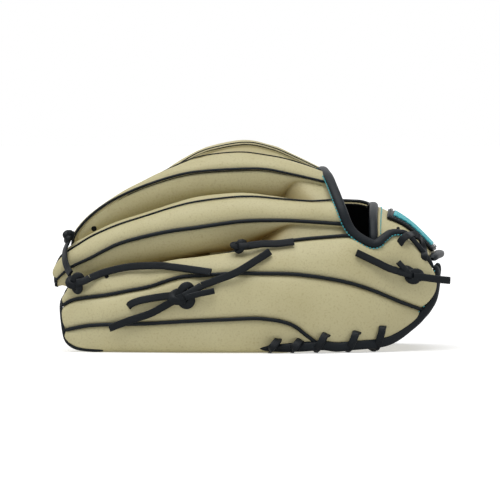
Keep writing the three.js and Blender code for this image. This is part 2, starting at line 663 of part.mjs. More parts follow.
function thumbPoint(row, line, degrees) {
  if (row <= 4) {
    return line(row);
  }
  const inPocket = pocket(thumbX(row), degrees);
  return line(Math.min(row, 6)).lerp(inPocket, smooth(4, 6, row));
}

function thumbPalmRow(row) {
  const outer = thumbLower(row);
  const foot = thumbFoot(row);
  const edge = Math.min(EDGE_LIMIT_share, thumbEdge(row) / outer.distanceTo(foot));
  const farFoot = thumbPoint(row, thumbInnerFoot, 180);
  const top = thumbPoint(row, thumb.innerUpper, THUMB_TOP);
  const creaseRow = Math.max(row, FIRST_THUMB_ROW + 0.5);
  const shift = top.clone().sub(thumbPoint(creaseRow, thumb.innerUpper, THUMB_TOP));
  const fold = crease(thumbX(creaseRow), 1).add(shift);
  const face = (share, degrees) => thumbPoint(row, () => between(farFoot, top, share), degrees);
  return [
    between(outer, foot, edge), between(outer, foot, (1 + edge) / 2), foot, farFoot,
    face(0.3, 167), face(0.65, 152), top, between(top, fold, 0.5), fold,
  ];
}

const THUMB_FOLD_ROW = 5.5;
const THUMB_FOLD_CELL = 6;
function thumbPalm() {
  const grid = THUMB_ROWS.map(thumbPalmRow);
  return sheet('thumb_palm_shell', grid, LEATHER, { way: new THREE.Vector3(0, -1, 0), column: 5 }, cream,
    (i, j) => !(j >= THUMB_FOLD_CELL && THUMB_ROWS[i] < THUMB_FOLD_ROW));
}

function thumbBacks() {
  const rows = [...THUMB_ROWS.slice(0, -2), 12.2, 12.65];
  return [
    panel('thumb_back', thumb.upper, thumb.lower, rows, 0.1, [weltEdge, weltEdge]),
    panel('thumb_outer_back', thumb.lower, thumbLower, rows, 0.08, [weltEdge, thumbEdge]),
  ];
}

// A welt runs up one seam, round the fingertip and back along the other seam.
function tipWelt(name, one, other, lastOne, lastOther, depthWay) {
  const points = steps(lastOne, 0, 9).map(one);
  const tip = between(one(0), other(0), 0.5).add(depthWay);
  points.push(tip, ...steps(0, lastOther, 9).map(other));
  return tube(name, points, WELT, black, 5, 34);
}

function welts() {
  const into = (finger) => between(finger.innerUpper(0), finger.innerLower(0), 0.5)
    .sub(between(finger.upper(0), finger.lower(0), 0.5)).multiplyScalar(0.5);
  const last = LAST_ROW - 0.2;
  const line = (name, curve, from, to) => tube(name, steps(from, to, 12).map(curve), WELT, black, 5, 20);
  return [
    tipWelt('index_welt', index.upper, index.lower, last, last, into(index)),
    tipWelt('middle_welt', middle.upper, middle.lower, last, last, into(middle)),
    tipWelt('ring_welt', ring.upper, ring.lower, last, last, into(ring)),
    line('pinky_upper_welt', pinky.upper, 0.1, last),
    line('pinky_seam_welt', pinky.lower, 0.1, 13.6),
    line('pinky_edge_welt', pinkyLower, 0.1, BINDING_FROM - 0.6),
    line('thumb_upper_welt', thumb.upper, 0.1, 12.8),
    line('thumb_seam_welt', thumb.lower, 0.1, 12.4),
    line('thumb_edge_welt', thumbLower, 0.1, THUMB_BINDING_FROM - 0.6),
  ];
}

// Folded leather bindings round the back opening, the heel and the wrist.
const openingShares = [
  [21.4, 17.9, 81.2], [21.4, 13.2, 87.2], [21.4, 7.4, 88.8], [21.6, 2.1, 88.8],
  [22.8, -5.8, 87.5], [22.9, -14.2, 81.6], [24.1, -20, 75.6], [26, -25.3, 69.7],
  [27.6, -29.7, 60.6], [30.3, -32.1, 55.9],
];
const heelUpShares = [[49, -22.1, 23.8], [49.7, -20.5, 30], [49.9, -19.2, 36.9]];
const thumbUpShares = [[47.2, 25.5, 19.4], [49.3, 25.3, 23.8], [50.9, 23.2, 31.2], [51.7, 20.3, 39.4]];

function bindings() {
  const near = [...steps(BINDING_FROM, 15, 12).map(pinkyLower), ...heelUpShares.map(place)];
  const far = [...steps(THUMB_BINDING_FROM, 12.6, 10).map(thumbLower), ...thumbUpShares.map(place)];
  const wristX = palmX(PALM_ROWS[PALM_ROWS.length - 1]) + trimEdge();
  const thumbWristX = thumbX(THUMB_ROWS[THUMB_ROWS.length - 1]) + trimEdge();
  const fold = creaseAngle(wristX);
  const wrist = (x, from, to) => steps(from, to, 8).map((degrees) => pocket(x, degrees));
  return [
    tube('opening_binding', openingShares.map(place), BINDING, black, 6, 20),
    tube('heel_binding', near, BINDING, black, 6, 30),
    tube('thumb_heel_binding', far, BINDING, black, 6, 26),
    tube('wrist_binding', wrist(wristX, 18, fold - 6), BINDING, black, 6, 12),
    tube('thumb_wrist_binding', wrist(thumbWristX, fold + 6, 160), BINDING, black, 6, 10),
  ];
}

// The wrist strap, from the little-finger side over the wrist, with its pad below and the
// bare two-layer patch on top.
const strapOuterShares = [
  [34.3, -30.8, 51.6], [34.3, -24.7, 60.6], [34.5, -15.8, 66.2], [34.8, -5.3, 68.9],
  [34.8, 5.3, 69.4], [34.5, 14.7, 68.1], [34.1, 22.1, 65.9],
];
const strapMidShares = [
  [41, -26.6, 49.4], [41.6, -20.5, 56.2], [42.2, -11.6, 59.7], [42.8, -3.2, 60.6],
  [42.9, 5.3, 60.9], [42.4, 13.7, 60.3], [41.6, 20, 58.8],
];
const strapInnerShares = [
  [47.9, -19.1, 42.6], [49, -13.7, 44.7], [50, -7.4, 45.6], [50.7, -1.6, 45.9],
  [51, 4.7, 45.9], [50.9, 10, 45.6], [50, 15, 44.9],
];
const strapLines = [strapOuterShares, strapMidShares, strapInnerShares].map(seam);
const STRAP_END = strapOuterShares.length - 1;

function strapPoint(acrossShare, alongShare) {
  const three = strapLines.map((line) => line(acrossShare * STRAP_END));
  return new THREE.CatmullRomCurve3(three, false, 'catmullrom', 0.5).getPoint(alongShare);
}

function strapGrid(across, along, lift) {
  const step = 0.02;
  return steps(...across, 8).map((u) => steps(...along, 4).map((v) => {
    const point = strapPoint(u, v);
    const sideways = strapPoint(Math.min(1, u + step), v).sub(strapPoint(Math.max(0, u - step), v));
    const lengthways = strapPoint(u, Math.min(1, v + step)).sub(strapPoint(u, Math.max(0, v - step)));
    const normal = lengthways.cross(sideways).normalize();
    return point.addScaledVector(normal, normal.z < 0 ? -lift : lift);
  }));
}

const PATCH_BASE = 1.8;
const PATCH = 1.8;
const STRAP_PAD = 4;
function strap() {
  const up = { way: new THREE.Vector3(0, 0, 1) };
  const whole = [0, 1];
  const baseLift = PATCH_BASE + 2 * GAP;
  const padShares = [0.07, 0.93];
  const strapEdge = (from, along, aside) => steps(from, 1, 8).map((u) => {
    const point = strapPoint(u, along);
    point.x += aside;
    return point;
  });
  return [
    sheet('wrist_strap', strapGrid(whole, whole, 0), LEATHER, up, cream),
    sheet('strap_pad', strapGrid(padShares, padShares, -LEATHER - 3 * GAP), STRAP_PAD, up, black),
    sheet('patch_base', strapGrid([0.12, 0.5], [0.12, 0.92], baseLift), PATCH_BASE, up, black),
    sheet('patch', strapGrid([0.16, 0.46], [0.2, 0.84], baseLift + PATCH + GAP), PATCH, up, turquoise),
    tube('strap_binding', strapEdge(0.08, 0, -trimEdge()), BINDING, black, 6, 12),
    tube('strap_heel_binding', strapEdge(0.1, 1, trimEdge()), BINDING, black, 6, 12),
  ];
}

// The web between index finger and thumb: two posts joined by two bars, and an edging on top.
const WEB_LEATHER = 4.4;
const WEB_LACE = 3.4;
const WEB_GAP = WEB_LACE + 2 * GAP;
const WEB_TOP_share = 0.7;
const webIndexWall = (row) => between(index.upper(row), index.innerUpper(row), WEB_TOP_share);
function webThumbWall(row) {
  const other = thumbRow(row);
  return between(thumb.upper(other), thumb.innerUpper(other), 0.5);
}

function webPoint(acrossShare, row) {
  const a = webIndexWall(row);
  a.y += WEB_GAP + WEB_LEATHER - GAP;
  const b = webThumbWall(row);
  const whole = a.distanceTo(b);
  const share = acrossShare * (1 - WEB_GAP / whole);
  const archShare = 0.1;
  const rise = 4 * share * (1 - share) * archShare * whole;
  return between(a, b, share).addScaledVector(outwardAt(between(a, b, 0.5)).normalize(), rise);
}

function web() {
  const part = (name, u, rows) => {
    const grid = rows.map((row) => steps(...u, 3).map((share) => webPoint(share, row)));
    return sheet(name, grid, WEB_LEATHER, { way: new THREE.Vector3(0, 1, 0.5) }, cream);
  };
  const post = steps(1.3, 6.9, 9);
  const inner = [0.345, 0.655];
  const edgeRow = 0.75;
  const laceRows = steps(1.5, 6.8, 8);
  const indexLace = laceRows.map((row) => {
    const p = webIndexWall(row);
    p.y += WEB_GAP / 2 + 2 * GAP;
    return p;
  });
  const thumbLace = laceRows.map((row) => {
    const wall = webThumbWall(row);
    const way = webPoint(0.5, row).sub(wall).normalize();
    const p = wall.addScaledVector(way, WEB_GAP / 2 + 1.5 * GAP);
    p.y -= WEB_LEATHER / 2;
    return p;
  });
  return [
    part('web_post_index', [0, 0.335], post),
    part('web_post_thumb', [0.665, 1], post),
    part('web_cross_bar', inner, steps(3.7, 5.3, 3)),
    tube('web_edging', steps(0, 1, 8).map((share) => webPoint(share, edgeRow)), BINDING, black, 6, 12),
    tube('web_lace_index', indexLace, WEB_LACE, black, 5, 16),
    tube('web_lace_thumb', thumbLace, WEB_LACE, black, 5, 16),
  ];
}

// Inside the mitt: felt and lining over the palm leather, lining under the back, stuffing in
// both heels and a stiffener in the little-finger and the thumb side.
const FELT_PAD = 4;
const HEEL_PAD = 7;
const STAY = 2.2;
const PAD_MARGIN_share = 0.42;
const BACK_LINING_DEPTH = 7.6;
function insides() {
  const down = { way: new THREE.Vector3(0, 0, -1), column: 4 };
  const palmCut = (first, last) => PALM_ROWS.filter((row) => row > first && row < last)
    .map((row) => palmRow(row).slice(6));
  const inward = LEATHER + 2 * GAP;
  const feltGrid = behind(palmCut(9.2, 14.2), inward, down);
  const liningGrid = behind(palmCut(9.2, 14.5), inward + FELT_PAD + 2 * GAP, down);
  const inset = () => BINDING;
  const aboveLace = (upper, lower) => (row) => upper(row).distanceTo(lower(row)) * PAD_MARGIN_share;
  const heelEdges = [inset, aboveLace(pinky.lower, pinkyLower)];
  const thumbHeelEdges = [inset, aboveLace(thumb.lower, thumbLower)];
  const heel = panelGrid(pinky.lower, pinkyLower, steps(10.6, 12.8, 5), 0.07, heelEdges);
  const thumbHeel = panelGrid(thumb.lower, thumbLower, steps(9, 11.5, 5), 0.08, thumbHeelEdges);
  const stay = panelGrid(pinky.lower, pinkyLower, steps(1.6, 8.4, 8), 0.07, [inset, inset], 2);
  const thumbStay = panelGrid(thumb.lower, thumbLower, steps(1.6, 7.4, 7), 0.08, [inset, inset], 2);
  const backLining = steps(10.15, LAST_ROW, 3).map((row) => Object.values(backLines).map((line) => {
    const p = line(row);
    return p.addScaledVector(outwardAt(p).normalize(), -BACK_LINING_DEPTH);
  }));
  const pad = (name, grid, thickness, material) => (
    sheet(name, behind(grid, inward, facing(grid)), thickness, facing(grid), material)
  );
  return [
    sheet('palm_pad', feltGrid, FELT_PAD, down, felt),
    sheet('palm_lining', liningGrid, LINING, down, black),
    sheet('back_lining', backLining, LINING, facing(backLining), black),
    pad('heel_pad', heel, HEEL_PAD, felt),
    pad('thumb_heel_pad', thumbHeel, HEEL_PAD, felt),
    pad('pinky_stay', stay, STAY, plastic),
    pad('thumb_stay', thumbStay, STAY, plastic),
  ];
}

// Rawhide laces. Each heel has one lace wound through holes in the outer leather, over the
// binding and up through the foot of the palm leather.
const LACE_HOLE = 0.5;
const HEEL_EDGE_share = 0.8;
const FOOT_HOLE_share = 0.35;
function woundPoints(upper, lower, foot, innerFoot, rows) {
  const points = [];
  const clear = LACE / 2 + GAP;
  const lowest = LACE / 2 + 3 * GAP;
  const TURN_LEAN = 0.16;
  rows.forEach((row) => {
    const line = panelGrid(upper, lower, [row], 0.07, [weltEdge, bindingEdge], 10)[0];
    const hole = line[Math.round(HEEL_EDGE_share * 10)];
    const way = outwardAt(hole).normalize();
    const edge = lower(row - TURN_LEAN);
    const edgeWay = way.clone().setZ(-Math.abs(way.y) / 4).normalize();
    const round = lower(row - 1.5 * TURN_LEAN);
    round.z = Math.max(lowest, round.z - BINDING / 2 - clear - 2 * GAP);
    const under = between(foot(row - 2 * TURN_LEAN), innerFoot(row - 2 * TURN_LEAN), FOOT_HOLE_share);
    const below = under.clone();
    below.z = Math.max(lowest, under.z - clear);
    const above = under.clone();
    above.z += LEATHER + clear + GAP;
    points.push(hole.clone().addScaledVector(way, -LEATHER - clear - GAP));
    points.push(hole.clone().addScaledVector(way, clear));
    points.push(edge.clone().addScaledVector(edgeWay, BINDING / 2 + clear + 5 * GAP));
    points.push(round, below, above);
  });
  return points;
}

function heelLaces() {
  const nearFoot = (row) => pocket(palmX(row), 0);
  const farFoot = (row) => pocket(thumbX(row), 180);
  return [
    ['heel_lace', woundPoints(pinky.lower, pinkyLower, pinkyFoot, nearFoot, steps(11.15, 13, 3))],
    ['thumb_heel_lace', woundPoints(thumb.lower, thumbLower, thumbFoot, farFoot, steps(9.9, 11.4, 3))],
  ];
}

// Knots, as lumps of rawhide: name, place in percent as for the seam lines, and half sizes as
// shares of the lace.
const knotShares = [
  ['tip_knot', [-44.1, -35.1, 33.1], [2.2, 1.3, 1.6]],
  ['pinky_knot', [-15.7, -50.4, 26.9], [2.4, 1, 2.1]],
  ['crotch_knot', [-1.4, -41.8, 49.9], [1.4, 1, 1.1]],
  ['strap_knot', [43.8, -32.8, 36], [1.6, 1, 1.4]],
];

function knots() {
  return knotShares.map(([name, share, halfShares]) => {
    const geometry = new THREE.SphereGeometry(LACE, 12, 8);
    const centre = place(share);
    geometry.scale(...halfShares);
    geometry.translate(centre.x, centre.y, centre.z);
    const mesh = new THREE.Mesh(geometry, black);
    mesh.name = name;
    return mesh;
  });
}

// Lace ends that hang free from the knots, and the two laces that lie on the leather.
const lacePlaces = {
  tip_tail: [
    [-116, -68, 55.5], [-104, -66.5, 63], [-86, -70.5, 67], [-64, -76.5, 66.5], [-54.7, -80.5, 65.2],
    [-40, -86, 62.5], [-25, -91.5, 60.5],
  ],
  pinky_tail_up: [
    [-32, -93.5, 50.5], [-20, -92.7, 55], [-6, -93.7, 60.5], [8, -88.5, 68.8], [19, -83.7, 75.8],
  ],
  pinky_tail_down: [
    [-55.4, -93.4, 37.8], [-61, -92.2, 34.6], [-71, -90.6, 29.3], [-85, -89.6, 24.7], [-101, -86.6, 18.5],
  ],
  crotch_tail: [[3.1, -80.2, 80.2], [13, -78.4, 81.3], [25, -78.5, 81.6], [37, -77.3, 83]],
  strap_tail: [[115.5, -67.3, 60.5], [108, -69, 63], [100, -71.7, 67], [84, -74.6, 74.7]],
  tip_lace: [
    [-130.6, -26, 87], [-136.6, -33, 81], [-138.6, -41, 75], [-137.6, -49, 68], [-134.4, -56, 62.6],
    [-130.9, -62, 58.4],
  ],
  strap_lace: [[118.5, -52, 82.5], [125.5, -48, 79], [132, -43.8, 75.5], [137.5, -40.5, 70.5]],
};

function laces() {
  return Object.entries(lacePlaces).map(([name, points]) => (
    tube(name, points.map((p) => new THREE.Vector3(...p)), LACE, black, 6, points.length * 3)
  ));
}

const glove = new THREE.Group();
glove.name = 'fielders_mitt';
// The frame's origin is on the floor, under the middle of the mitt.
const ORIGIN_shares = [1.7, -2.1, 0];
glove.position.copy(place(ORIGIN_shares).negate());
let leather = [...backs(), palm(), thumbPalm(), ...thumbBacks()];
const pierced = {
  heel_lace: ['pinky_outer_back', 'palm_shell'],
  thumb_heel_lace: ['thumb_outer_back', 'thumb_palm_shell'],
};
heelLaces().forEach(([name, points]) => {
  const rings = points.length * 3;
  const hole = tube(name, points, LACE + 2 * LACE_HOLE, black, 6, rings);
  leather = leather.map((mesh) => (pierced[name].includes(mesh.name) ? pierce(mesh, hole) : mesh));
  glove.add(tube(name, points, LACE, black, 6, rings));
});
glove.add(...leather, ...gussets(), ...webSides(), ...welts());
glove.add(...bindings(), ...strap(), ...web(), ...insides(), ...knots(), ...laces());

export default glove;
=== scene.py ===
# A left-hand baseball fielder's glove, lying palm down on a pale floor, seen from the
# little-finger side. Lengths are in metres. The seam tables are shares, in percent, of the
# glove's length, width and height. They start from the part's own source. To match the
# photograph, some or all rows differ here for the four fingers' upper lines, the three
# fingers' lower lines, the little finger's lower line and foot, the thumb's upper line, the
# opening, the ends of the heel binding, the strap and tip_tail.
import math
import random

import bmesh
import bpy
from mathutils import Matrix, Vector, noise
from mathutils.bvhtree import BVHTree


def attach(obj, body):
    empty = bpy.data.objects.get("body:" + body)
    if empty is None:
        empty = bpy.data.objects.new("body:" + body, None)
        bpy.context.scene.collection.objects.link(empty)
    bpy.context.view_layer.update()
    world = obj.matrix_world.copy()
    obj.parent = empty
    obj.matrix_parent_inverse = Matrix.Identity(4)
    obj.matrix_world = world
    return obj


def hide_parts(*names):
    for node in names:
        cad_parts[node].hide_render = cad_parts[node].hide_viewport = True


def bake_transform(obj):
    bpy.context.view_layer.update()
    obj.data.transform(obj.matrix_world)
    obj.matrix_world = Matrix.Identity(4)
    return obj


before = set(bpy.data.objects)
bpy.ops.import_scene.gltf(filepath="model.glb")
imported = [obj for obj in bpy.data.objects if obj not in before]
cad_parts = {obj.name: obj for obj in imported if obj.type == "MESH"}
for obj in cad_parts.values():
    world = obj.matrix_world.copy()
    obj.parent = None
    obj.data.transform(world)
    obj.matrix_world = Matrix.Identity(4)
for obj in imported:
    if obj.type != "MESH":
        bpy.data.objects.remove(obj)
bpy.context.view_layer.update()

random.seed(7)
bpy.ops.object.select_all(action="DESELECT")

LENGTH, WIDTH, HEIGHT = 0.290, 0.190, 0.160
LEATHER, SIDE_LEATHER = 0.0026, 0.0018
WELT, BINDING = 0.0031, 0.0074
LACE_WIDTH, LACE_THICK = 0.0056, 0.0021
MM = 0.001
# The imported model's origin lies under the middle of the glove.
TO_FRAME = Vector((-0.017 * LENGTH, 0.021 * WIDTH, 0))
MID_PIXEL = 244.5
FLOOR_PIXEL = 352
MM_PER_PIXEL = 0.755

INDEX_UPPER = [
    (-41.4, 14.2, 46.4), (-40.3, 14.7, 53.2), (-37.2, 15.3, 59.4), (-32.8, 15.8, 66.2),
    (-27.6, 15.8, 73.4), (-21.4, 15.5, 80.6), (-15.5, 15.3, 87.8), (-9.7, 15, 92.4),
    (0, 14.7, 95.6), (6.9, 14.5, 93.6), (12.4, 13.9, 89.9), (20, 12.6, 83.8), (22, 12.3, 82),
]
INDEX_LOWER = [
    (-41.7, 7.4, 47), (-40.7, 6.8, 54.5), (-37.6, 5.8, 61), (-33.1, 4.7, 68.1),
    (-27.6, 3.4, 75.4), (-21.4, 2.1, 82.6), (-15.5, 1.3, 90), (-9.7, 0.8, 95),
    (0, 0.5, 98.2), (6.9, 0.8, 96), (12.4, 1.3, 92), (20, 2.6, 85.4), (21.6, 2.9, 84),
]
MIDDLE_UPPER = [
    (-44.8, -4.2, 50.5), (-43.6, -3.4, 55), (-40.7, -3.2, 60.8), (-35.9, -3.7, 68),
    (-30.3, -4.5, 75), (-24.5, -5.5, 81.3), (-17.2, -6.6, 88), (-11, -7.4, 91.8),
    (-1.7, -7.9, 93.6), (5.2, -7.6, 92.3), (12.1, -6.8, 89.8), (20.8, -5.3, 84.4), (21.2, -5.2, 84.1),
]
MIDDLE_LOWER = [
    (-45.3, -9.5, 49.4), (-44.5, -10.5, 54.7), (-40.9, -11.6, 62.5), (-35.9, -12.6, 69.4),
    (-30.3, -13.7, 74.6), (-24.5, -14.5, 78.8), (-17.2, -15.3, 82.8), (-11, -15.8, 84.6),
    (-1.7, -16.3, 85.6), (5.2, -16.3, 85.6), (12.4, -15.8, 83.1), (21.2, -14.2, 79.4), (22.6, -13.9, 78.4),
]
RING_UPPER = [
    (-49.5, -17.4, 38.8), (-47.8, -18.2, 44.7), (-44.4, -18.9, 48.8), (-40, -20, 53.8),
    (-33.4, -21.6, 59.1), (-26.6, -22.9, 63.1), (-18.6, -24.2, 67.7), (-11.6, -25.3, 70.6),
    (0, -26.1, 72.8), (9.7, -25.8, 71.6), (17.2, -24.7, 70.6), (23.2, -23.8, 71.2), (23.9, -23.7, 71),
]
RING_LOWER = [
    (-49.3, -22.6, 32.8), (-47.9, -23.9, 35.3), (-45.2, -25.3, 39.4), (-40.3, -26.6, 43.6),
    (-33.4, -28.4, 50), (-27.2, -30.3, 53.4), (-19.7, -31.8, 56.4), (-12.6, -32.9, 58.2),
    (-0.7, -33.7, 61.2), (9.7, -33.4, 61.6), (17.2, -32.1, 60.9), (26.2, -29.5, 59.7), (27.6, -29.2, 59.3),
]
PINKY_UPPER = [
    (-46.9, -27.4, 26.4), (-45.2, -28.9, 32), (-41.4, -30.5, 36.2), (-35.9, -32.4, 39),
    (-30.3, -33.9, 40), (-24.5, -35.3, 41.9), (-17.2, -36.6, 44.1), (-11, -37.4, 45.6),
    (-3.4, -38.2, 47.5), (4.5, -38.4, 50), (14.1, -37.4, 52.8), (28.6, -32.1, 54.4),
    (34.1, -31.1, 50.9), (41.4, -25.8, 54.2), (49.4, -19.8, 37.2),
]
# The upper edge of the little finger's heel leather, which laps over the wrist strap.
HEEL_FLAP = [
    (28.6, -32.1, 54.4), (34.1, -32.2, 50.2), (37.9, -28.8, 54.8), (41.3, -26.4, 55.2),
    (46.4, -23.4, 46), (49.4, -20.4, 37.8),
]
PINKY_SEAM = [
    (-47.6, -32.1, 21.2), (-44.8, -34.2, 24.1), (-40.7, -36.3, 25.6), (-35.5, -38.4, 26.9),
    (-30.3, -40.3, 28.8), (-24.5, -42.1, 30.9), (-17.2, -44.2, 35.2), (-11, -45.3, 36.2),
    (-3.4, -46.3, 37.2), (4.5, -46.6, 37.2), (14.1, -45.5, 36.6), (25.2, -42.1, 33.4),
    (32.8, -38.4, 29.2), (40.3, -32.1, 23.4), (46.9, -24.2, 18.8),
]
PINKY_LOWER = [
    (-46.9, -35.8, 10), (-44.1, -37.9, 11.2), (-40.3, -40, 12.5), (-35.5, -42.4, 13.1),
    (-30.3, -44.5, 13.4), (-24.5, -46.3, 13.8), (-17.2, -48.2, 14.7), (-11, -49.2, 15.3),
    (-3.4, -50, 15.9), (4.5, -50.3, 16.2), (12.4, -48.9, 13.1), (20, -46.6, 3.4),
    (29.3, -41.9, 3.4), (37.2, -35, 5), (43.8, -27, 12.4), (47.6, -23.7, 19.4),
]
PINKY_FOOT = [
    (-46, -34.9, 4.6), (-43.5, -36.8, 1.5), (-39.6, -38.4, 0), (-34.5, -40, 0),
    (-29.7, -41.8, 0), (-24.1, -43.4, 0), (-17.2, -45, 0), (-11, -45.8, 0),
    (-3.4, -46.3, 0), (4.5, -46.1, 0), (12.4, -44.7, 0), (20, -42.1, 3.9),
    (29.3, -37.9, 4), (36.9, -31.6, 5.6), (43.1, -24.2, 11.9), (47.4, -21.1, 20.6),
]
PINKY_INNER_FOOT = [
    (-45.2, -31.6, 3.8), (-42.4, -32.6, 1.9), (-38.6, -33.2, 0), (-34.1, -33.9, 0),
    (-29.3, -34.9, 0), (-23.8, -35.9, 0), (-16.9, -36.8, 0), (-10.7, -37.4, 0),
]
THUMB_UPPER = [
    (-24.1, 26.3, 22.5), (-22.4, 27.9, 27.5), (-19.3, 29.5, 31.9), (-15.5, 31.1, 35.6),
    (-11, 32.4, 40), (-6.2, 33.2, 45), (-1.4, 32.9, 51.2), (4.1, 31.6, 58.8),
    (10.3, 29.5, 66.6), (17.2, 27.4, 70), (25.9, 25.3, 69.6), (33.1, 24.2, 68.2),
    (41, 22.1, 58.5), (50.5, 16.6, 43.4),
]
THUMB_SEAM = [
    (-25.2, 31.6, 18.8), (-22.8, 34.7, 21.9), (-19.3, 37.4, 24.1), (-15.5, 39.5, 26.2),
    (-11, 41.6, 28.8), (-6.2, 43.7, 31.9), (-1.4, 44.7, 35), (4.1, 45.3, 38.1),
    (10.3, 44.7, 40.6), (17.2, 43.2, 41.2), (25.9, 40, 38.8), (33.8, 36.3, 33.1),
    (41, 31.1, 26.2), (48.6, 24.7, 21.2),
]
THUMB_LOWER = [
    (-24.5, 34.7, 8.8), (-22.1, 37.4, 10), (-18.6, 40, 11.2), (-14.8, 42.1, 12.5),
    (-10.3, 44.2, 13.8), (-5.5, 46.1, 14.7), (-0.7, 47.4, 15.6), (4.8, 47.9, 15.9),
    (11, 47.4, 13.1), (18.6, 45.3, 6.3), (28.3, 41.6, 6.3), (36.6, 35.8, 7.2),
    (42.8, 28.9, 12.5), (45.9, 24.7, 18.1),
]
THUMB_FOOT = [
    (-23.4, 32.6, 2.5), (-21.4, 34.7, 1.2), (-18.3, 36.8, 0), (-14.5, 38.7, 0),
    (-10, 40.5, 0), (-5.2, 42.1, 0), (-0.3, 43.2, 0), (5.2, 43.7, 0),
    (11.4, 43.2, 0), (18.6, 41.6, 3.9), (28.3, 37.9, 4), (36.2, 32.1, 5.6),
    (42.2, 25.3, 10.8), (45.2, 21.6, 15.8),
]
THUMB_INNER_FOOT = [
    (-23.1, 28.2, 3.1), (-21, 29, 1.2), (-18, 29.7, 0), (-14.1, 30.4, 0),
    (-9.7, 31, 0), (-4.8, 31.5, 0), (-1, 31.7, 0),
]
# The pocket, as arches: place along the glove, near foot, apex and far foot across it, then the
# height of the foot and of the apex.
POCKET = [
    (-30, -33, 8, 28, 0, 62), (-15.5, -36.8, 7.4, 30.5, 0, 73.8), (-10.7, -37.4, 7.4, 31.2, 0, 76.2),
    (-3.4, -37.6, 7.1, 31.6, 0, 75), (4.5, -37.4, 6.6, 32, 0, 70.6), (12.4, -36.3, 5.8, 31.6, 0, 65),
    (20, -34.7, 4.7, 30.5, 3.9, 58.8), (29.3, -31.6, 3.7, 28, 4, 50), (37.2, -26.8, 2.6, 25, 5.6, 41.2),
    (44.1, -21.1, 2.1, 21.5, 12.5, 35), (49.3, -14.7, 1.6, 16, 23.8, 31.2),
]
ARCH_POWER = 1.21
WELD, SLIVER = 0.00005, 0.00002
TAIL_STEP, ARM_STEP, LACE_STEP = 0.0018, 0.0015, 0.0012
BINDING_STEP, WELT_STEP = 0.002, 0.0026
SHARP_DEGREES, STITCH_SHARP_DEGREES = 50, 60
STITCH_PITCH, STITCH_LONG, STITCH_THICK = 0.0027, 0.0019, 0.0008
BINDING_THICK, THIN_BINDING, HEEL_BINDING, STRAP_BINDING = 0.0052, 0.005, 0.0072, 0.0066
BINDING_SOFTNESS, BINDING_WAVES = 0.05, 60
WELT_PROUD = 0.0006
EDGE_SWELL, PALM_DIP = 0.0022, 0.0022
HEEL_PAD_THICK, HEEL_PAD_REACH, STAY_THICK, PANEL_CLEARANCE = 0.0066, 0.58, 0.002, 0.0008
PALM_PAD_IN, PALM_PAD_THICK = 0.0072, 0.0038
LINING_IN, BACK_LINING_IN, LINING_THICK = 0.0090, 0.0086, 0.0012
STALL_DEPTH = 0.027
DEPTH_SHARES = [0.26, 0.54, 0.75, 0.89, 0.96, 1]
PALM_ROW_X = [-10.7, -3.4, 4.5, 12.4, 20, 29.3, 37.2, 44.1, 49.3]
THUMB_ROW_X = [-5.5, -1, 4.5, 10.7, 17.9, 26.9, 35.2, 42.4, 48.3]
FIRST_POCKET_ROW, FIRST_THUMB_ROW = 7, 5
LAST_ROW = 11
LAST_EDGE = 11.45
SLIT_ROW = 7.5
TIP_REACH = 0.0028


def place(share):
    return Vector((LENGTH * share[0], WIDTH * share[1], HEIGHT * share[2])) / 100


def spread(start, end, count):
    return [start + (end - start) * i / count for i in range(count + 1)]


def clamp(value, low=0.0, high=1.0):
    return max(low, min(high, value))


def smooth(start, end, value):
    t = clamp((value - start) / (end - start))
    return t * t * (3 - 2 * t)


def mix(a, b, t):
    return a + (b - a) * t


def tabled(values, at):
    low = int(clamp(math.floor(at), 0, len(values) - 2))
    return mix(values[low], values[low + 1], clamp(at - low, 0, 1))


def bowed(v):
    """A rise of 1 in the middle and 0 at both ends."""
    return 4 * v * (1 - v)


def through(points):
    """A smooth line through points, read by point number."""
    last = len(points) - 1

    def at(row):
        t = clamp(row, 0, last)
        i = min(int(t), last - 1)
        t -= i
        b, c = points[i], points[i + 1]
        a = points[i - 1] if i else b * 2 - c
        d = points[i + 2] if i + 2 <= last else c * 2 - b
        m, n = (c - a) / 2, (d - b) / 2
        return (
            b
            + m * t
            + ((c - b) * 3 - m * 2 - n) * (t * t)
            + ((b - c) * 2 + m + n) * (t * t * t)
        )

    return at


def seam(shares):
    return through([place(s) for s in shares])


def smooth_path(points, spacing):
    """Points at even spacing on the smooth line through a few points."""
    line = through([Vector(p) for p in points])
    dense = [line(r) for r in spread(0, len(points) - 1, (len(points) - 1) * 24)]
    total = sum((b - a).length for a, b in zip(dense, dense[1:]))
    count = max(4, round(total / spacing))
    wanted, path, run = total / count, [dense[0]], 0.0
    for a, b in zip(dense, dense[1:]):
        step = (b - a).length
        while step and run + step >= wanted * len(path) - 1e-9 and len(path) <= count:
            path.append(a.lerp(b, (wanted * len(path) - run) / step))
        run += step
    if len(path) <= count:
        path.append(dense[-1])
    return path


def outward_at(point):
    return Vector((0, point.y - WIDTH * 0.03, point.z - HEIGHT * 0.25))


class Stall:
    """One finger: its two seam lines on the back and the matching lines on the palm side."""

    def __init__(self, upper, lower, tilt):
        self.upper, self.lower = seam(upper), seam(lower)
        self.angle = math.radians(tilt)

    def depth_way(self, row):
        ahead = self.upper(row + 0.25) + self.lower(row + 0.25)
        behind = self.upper(row - 0.25) + self.lower(row - 0.25)
        along = (ahead - behind).normalized()
        way = Vector((0, -math.sin(self.angle), math.cos(self.angle)))
        return (way - along * way.dot(along)).normalized()

    def inner(self, line, row):
        return line(row) - self.depth_way(row) * (STALL_DEPTH * tabled(DEPTH_SHARES, row))

    def inner_upper(self, row):
        return self.inner(self.upper, row)

    def inner_lower(self, row):
        return self.inner(self.lower, row)


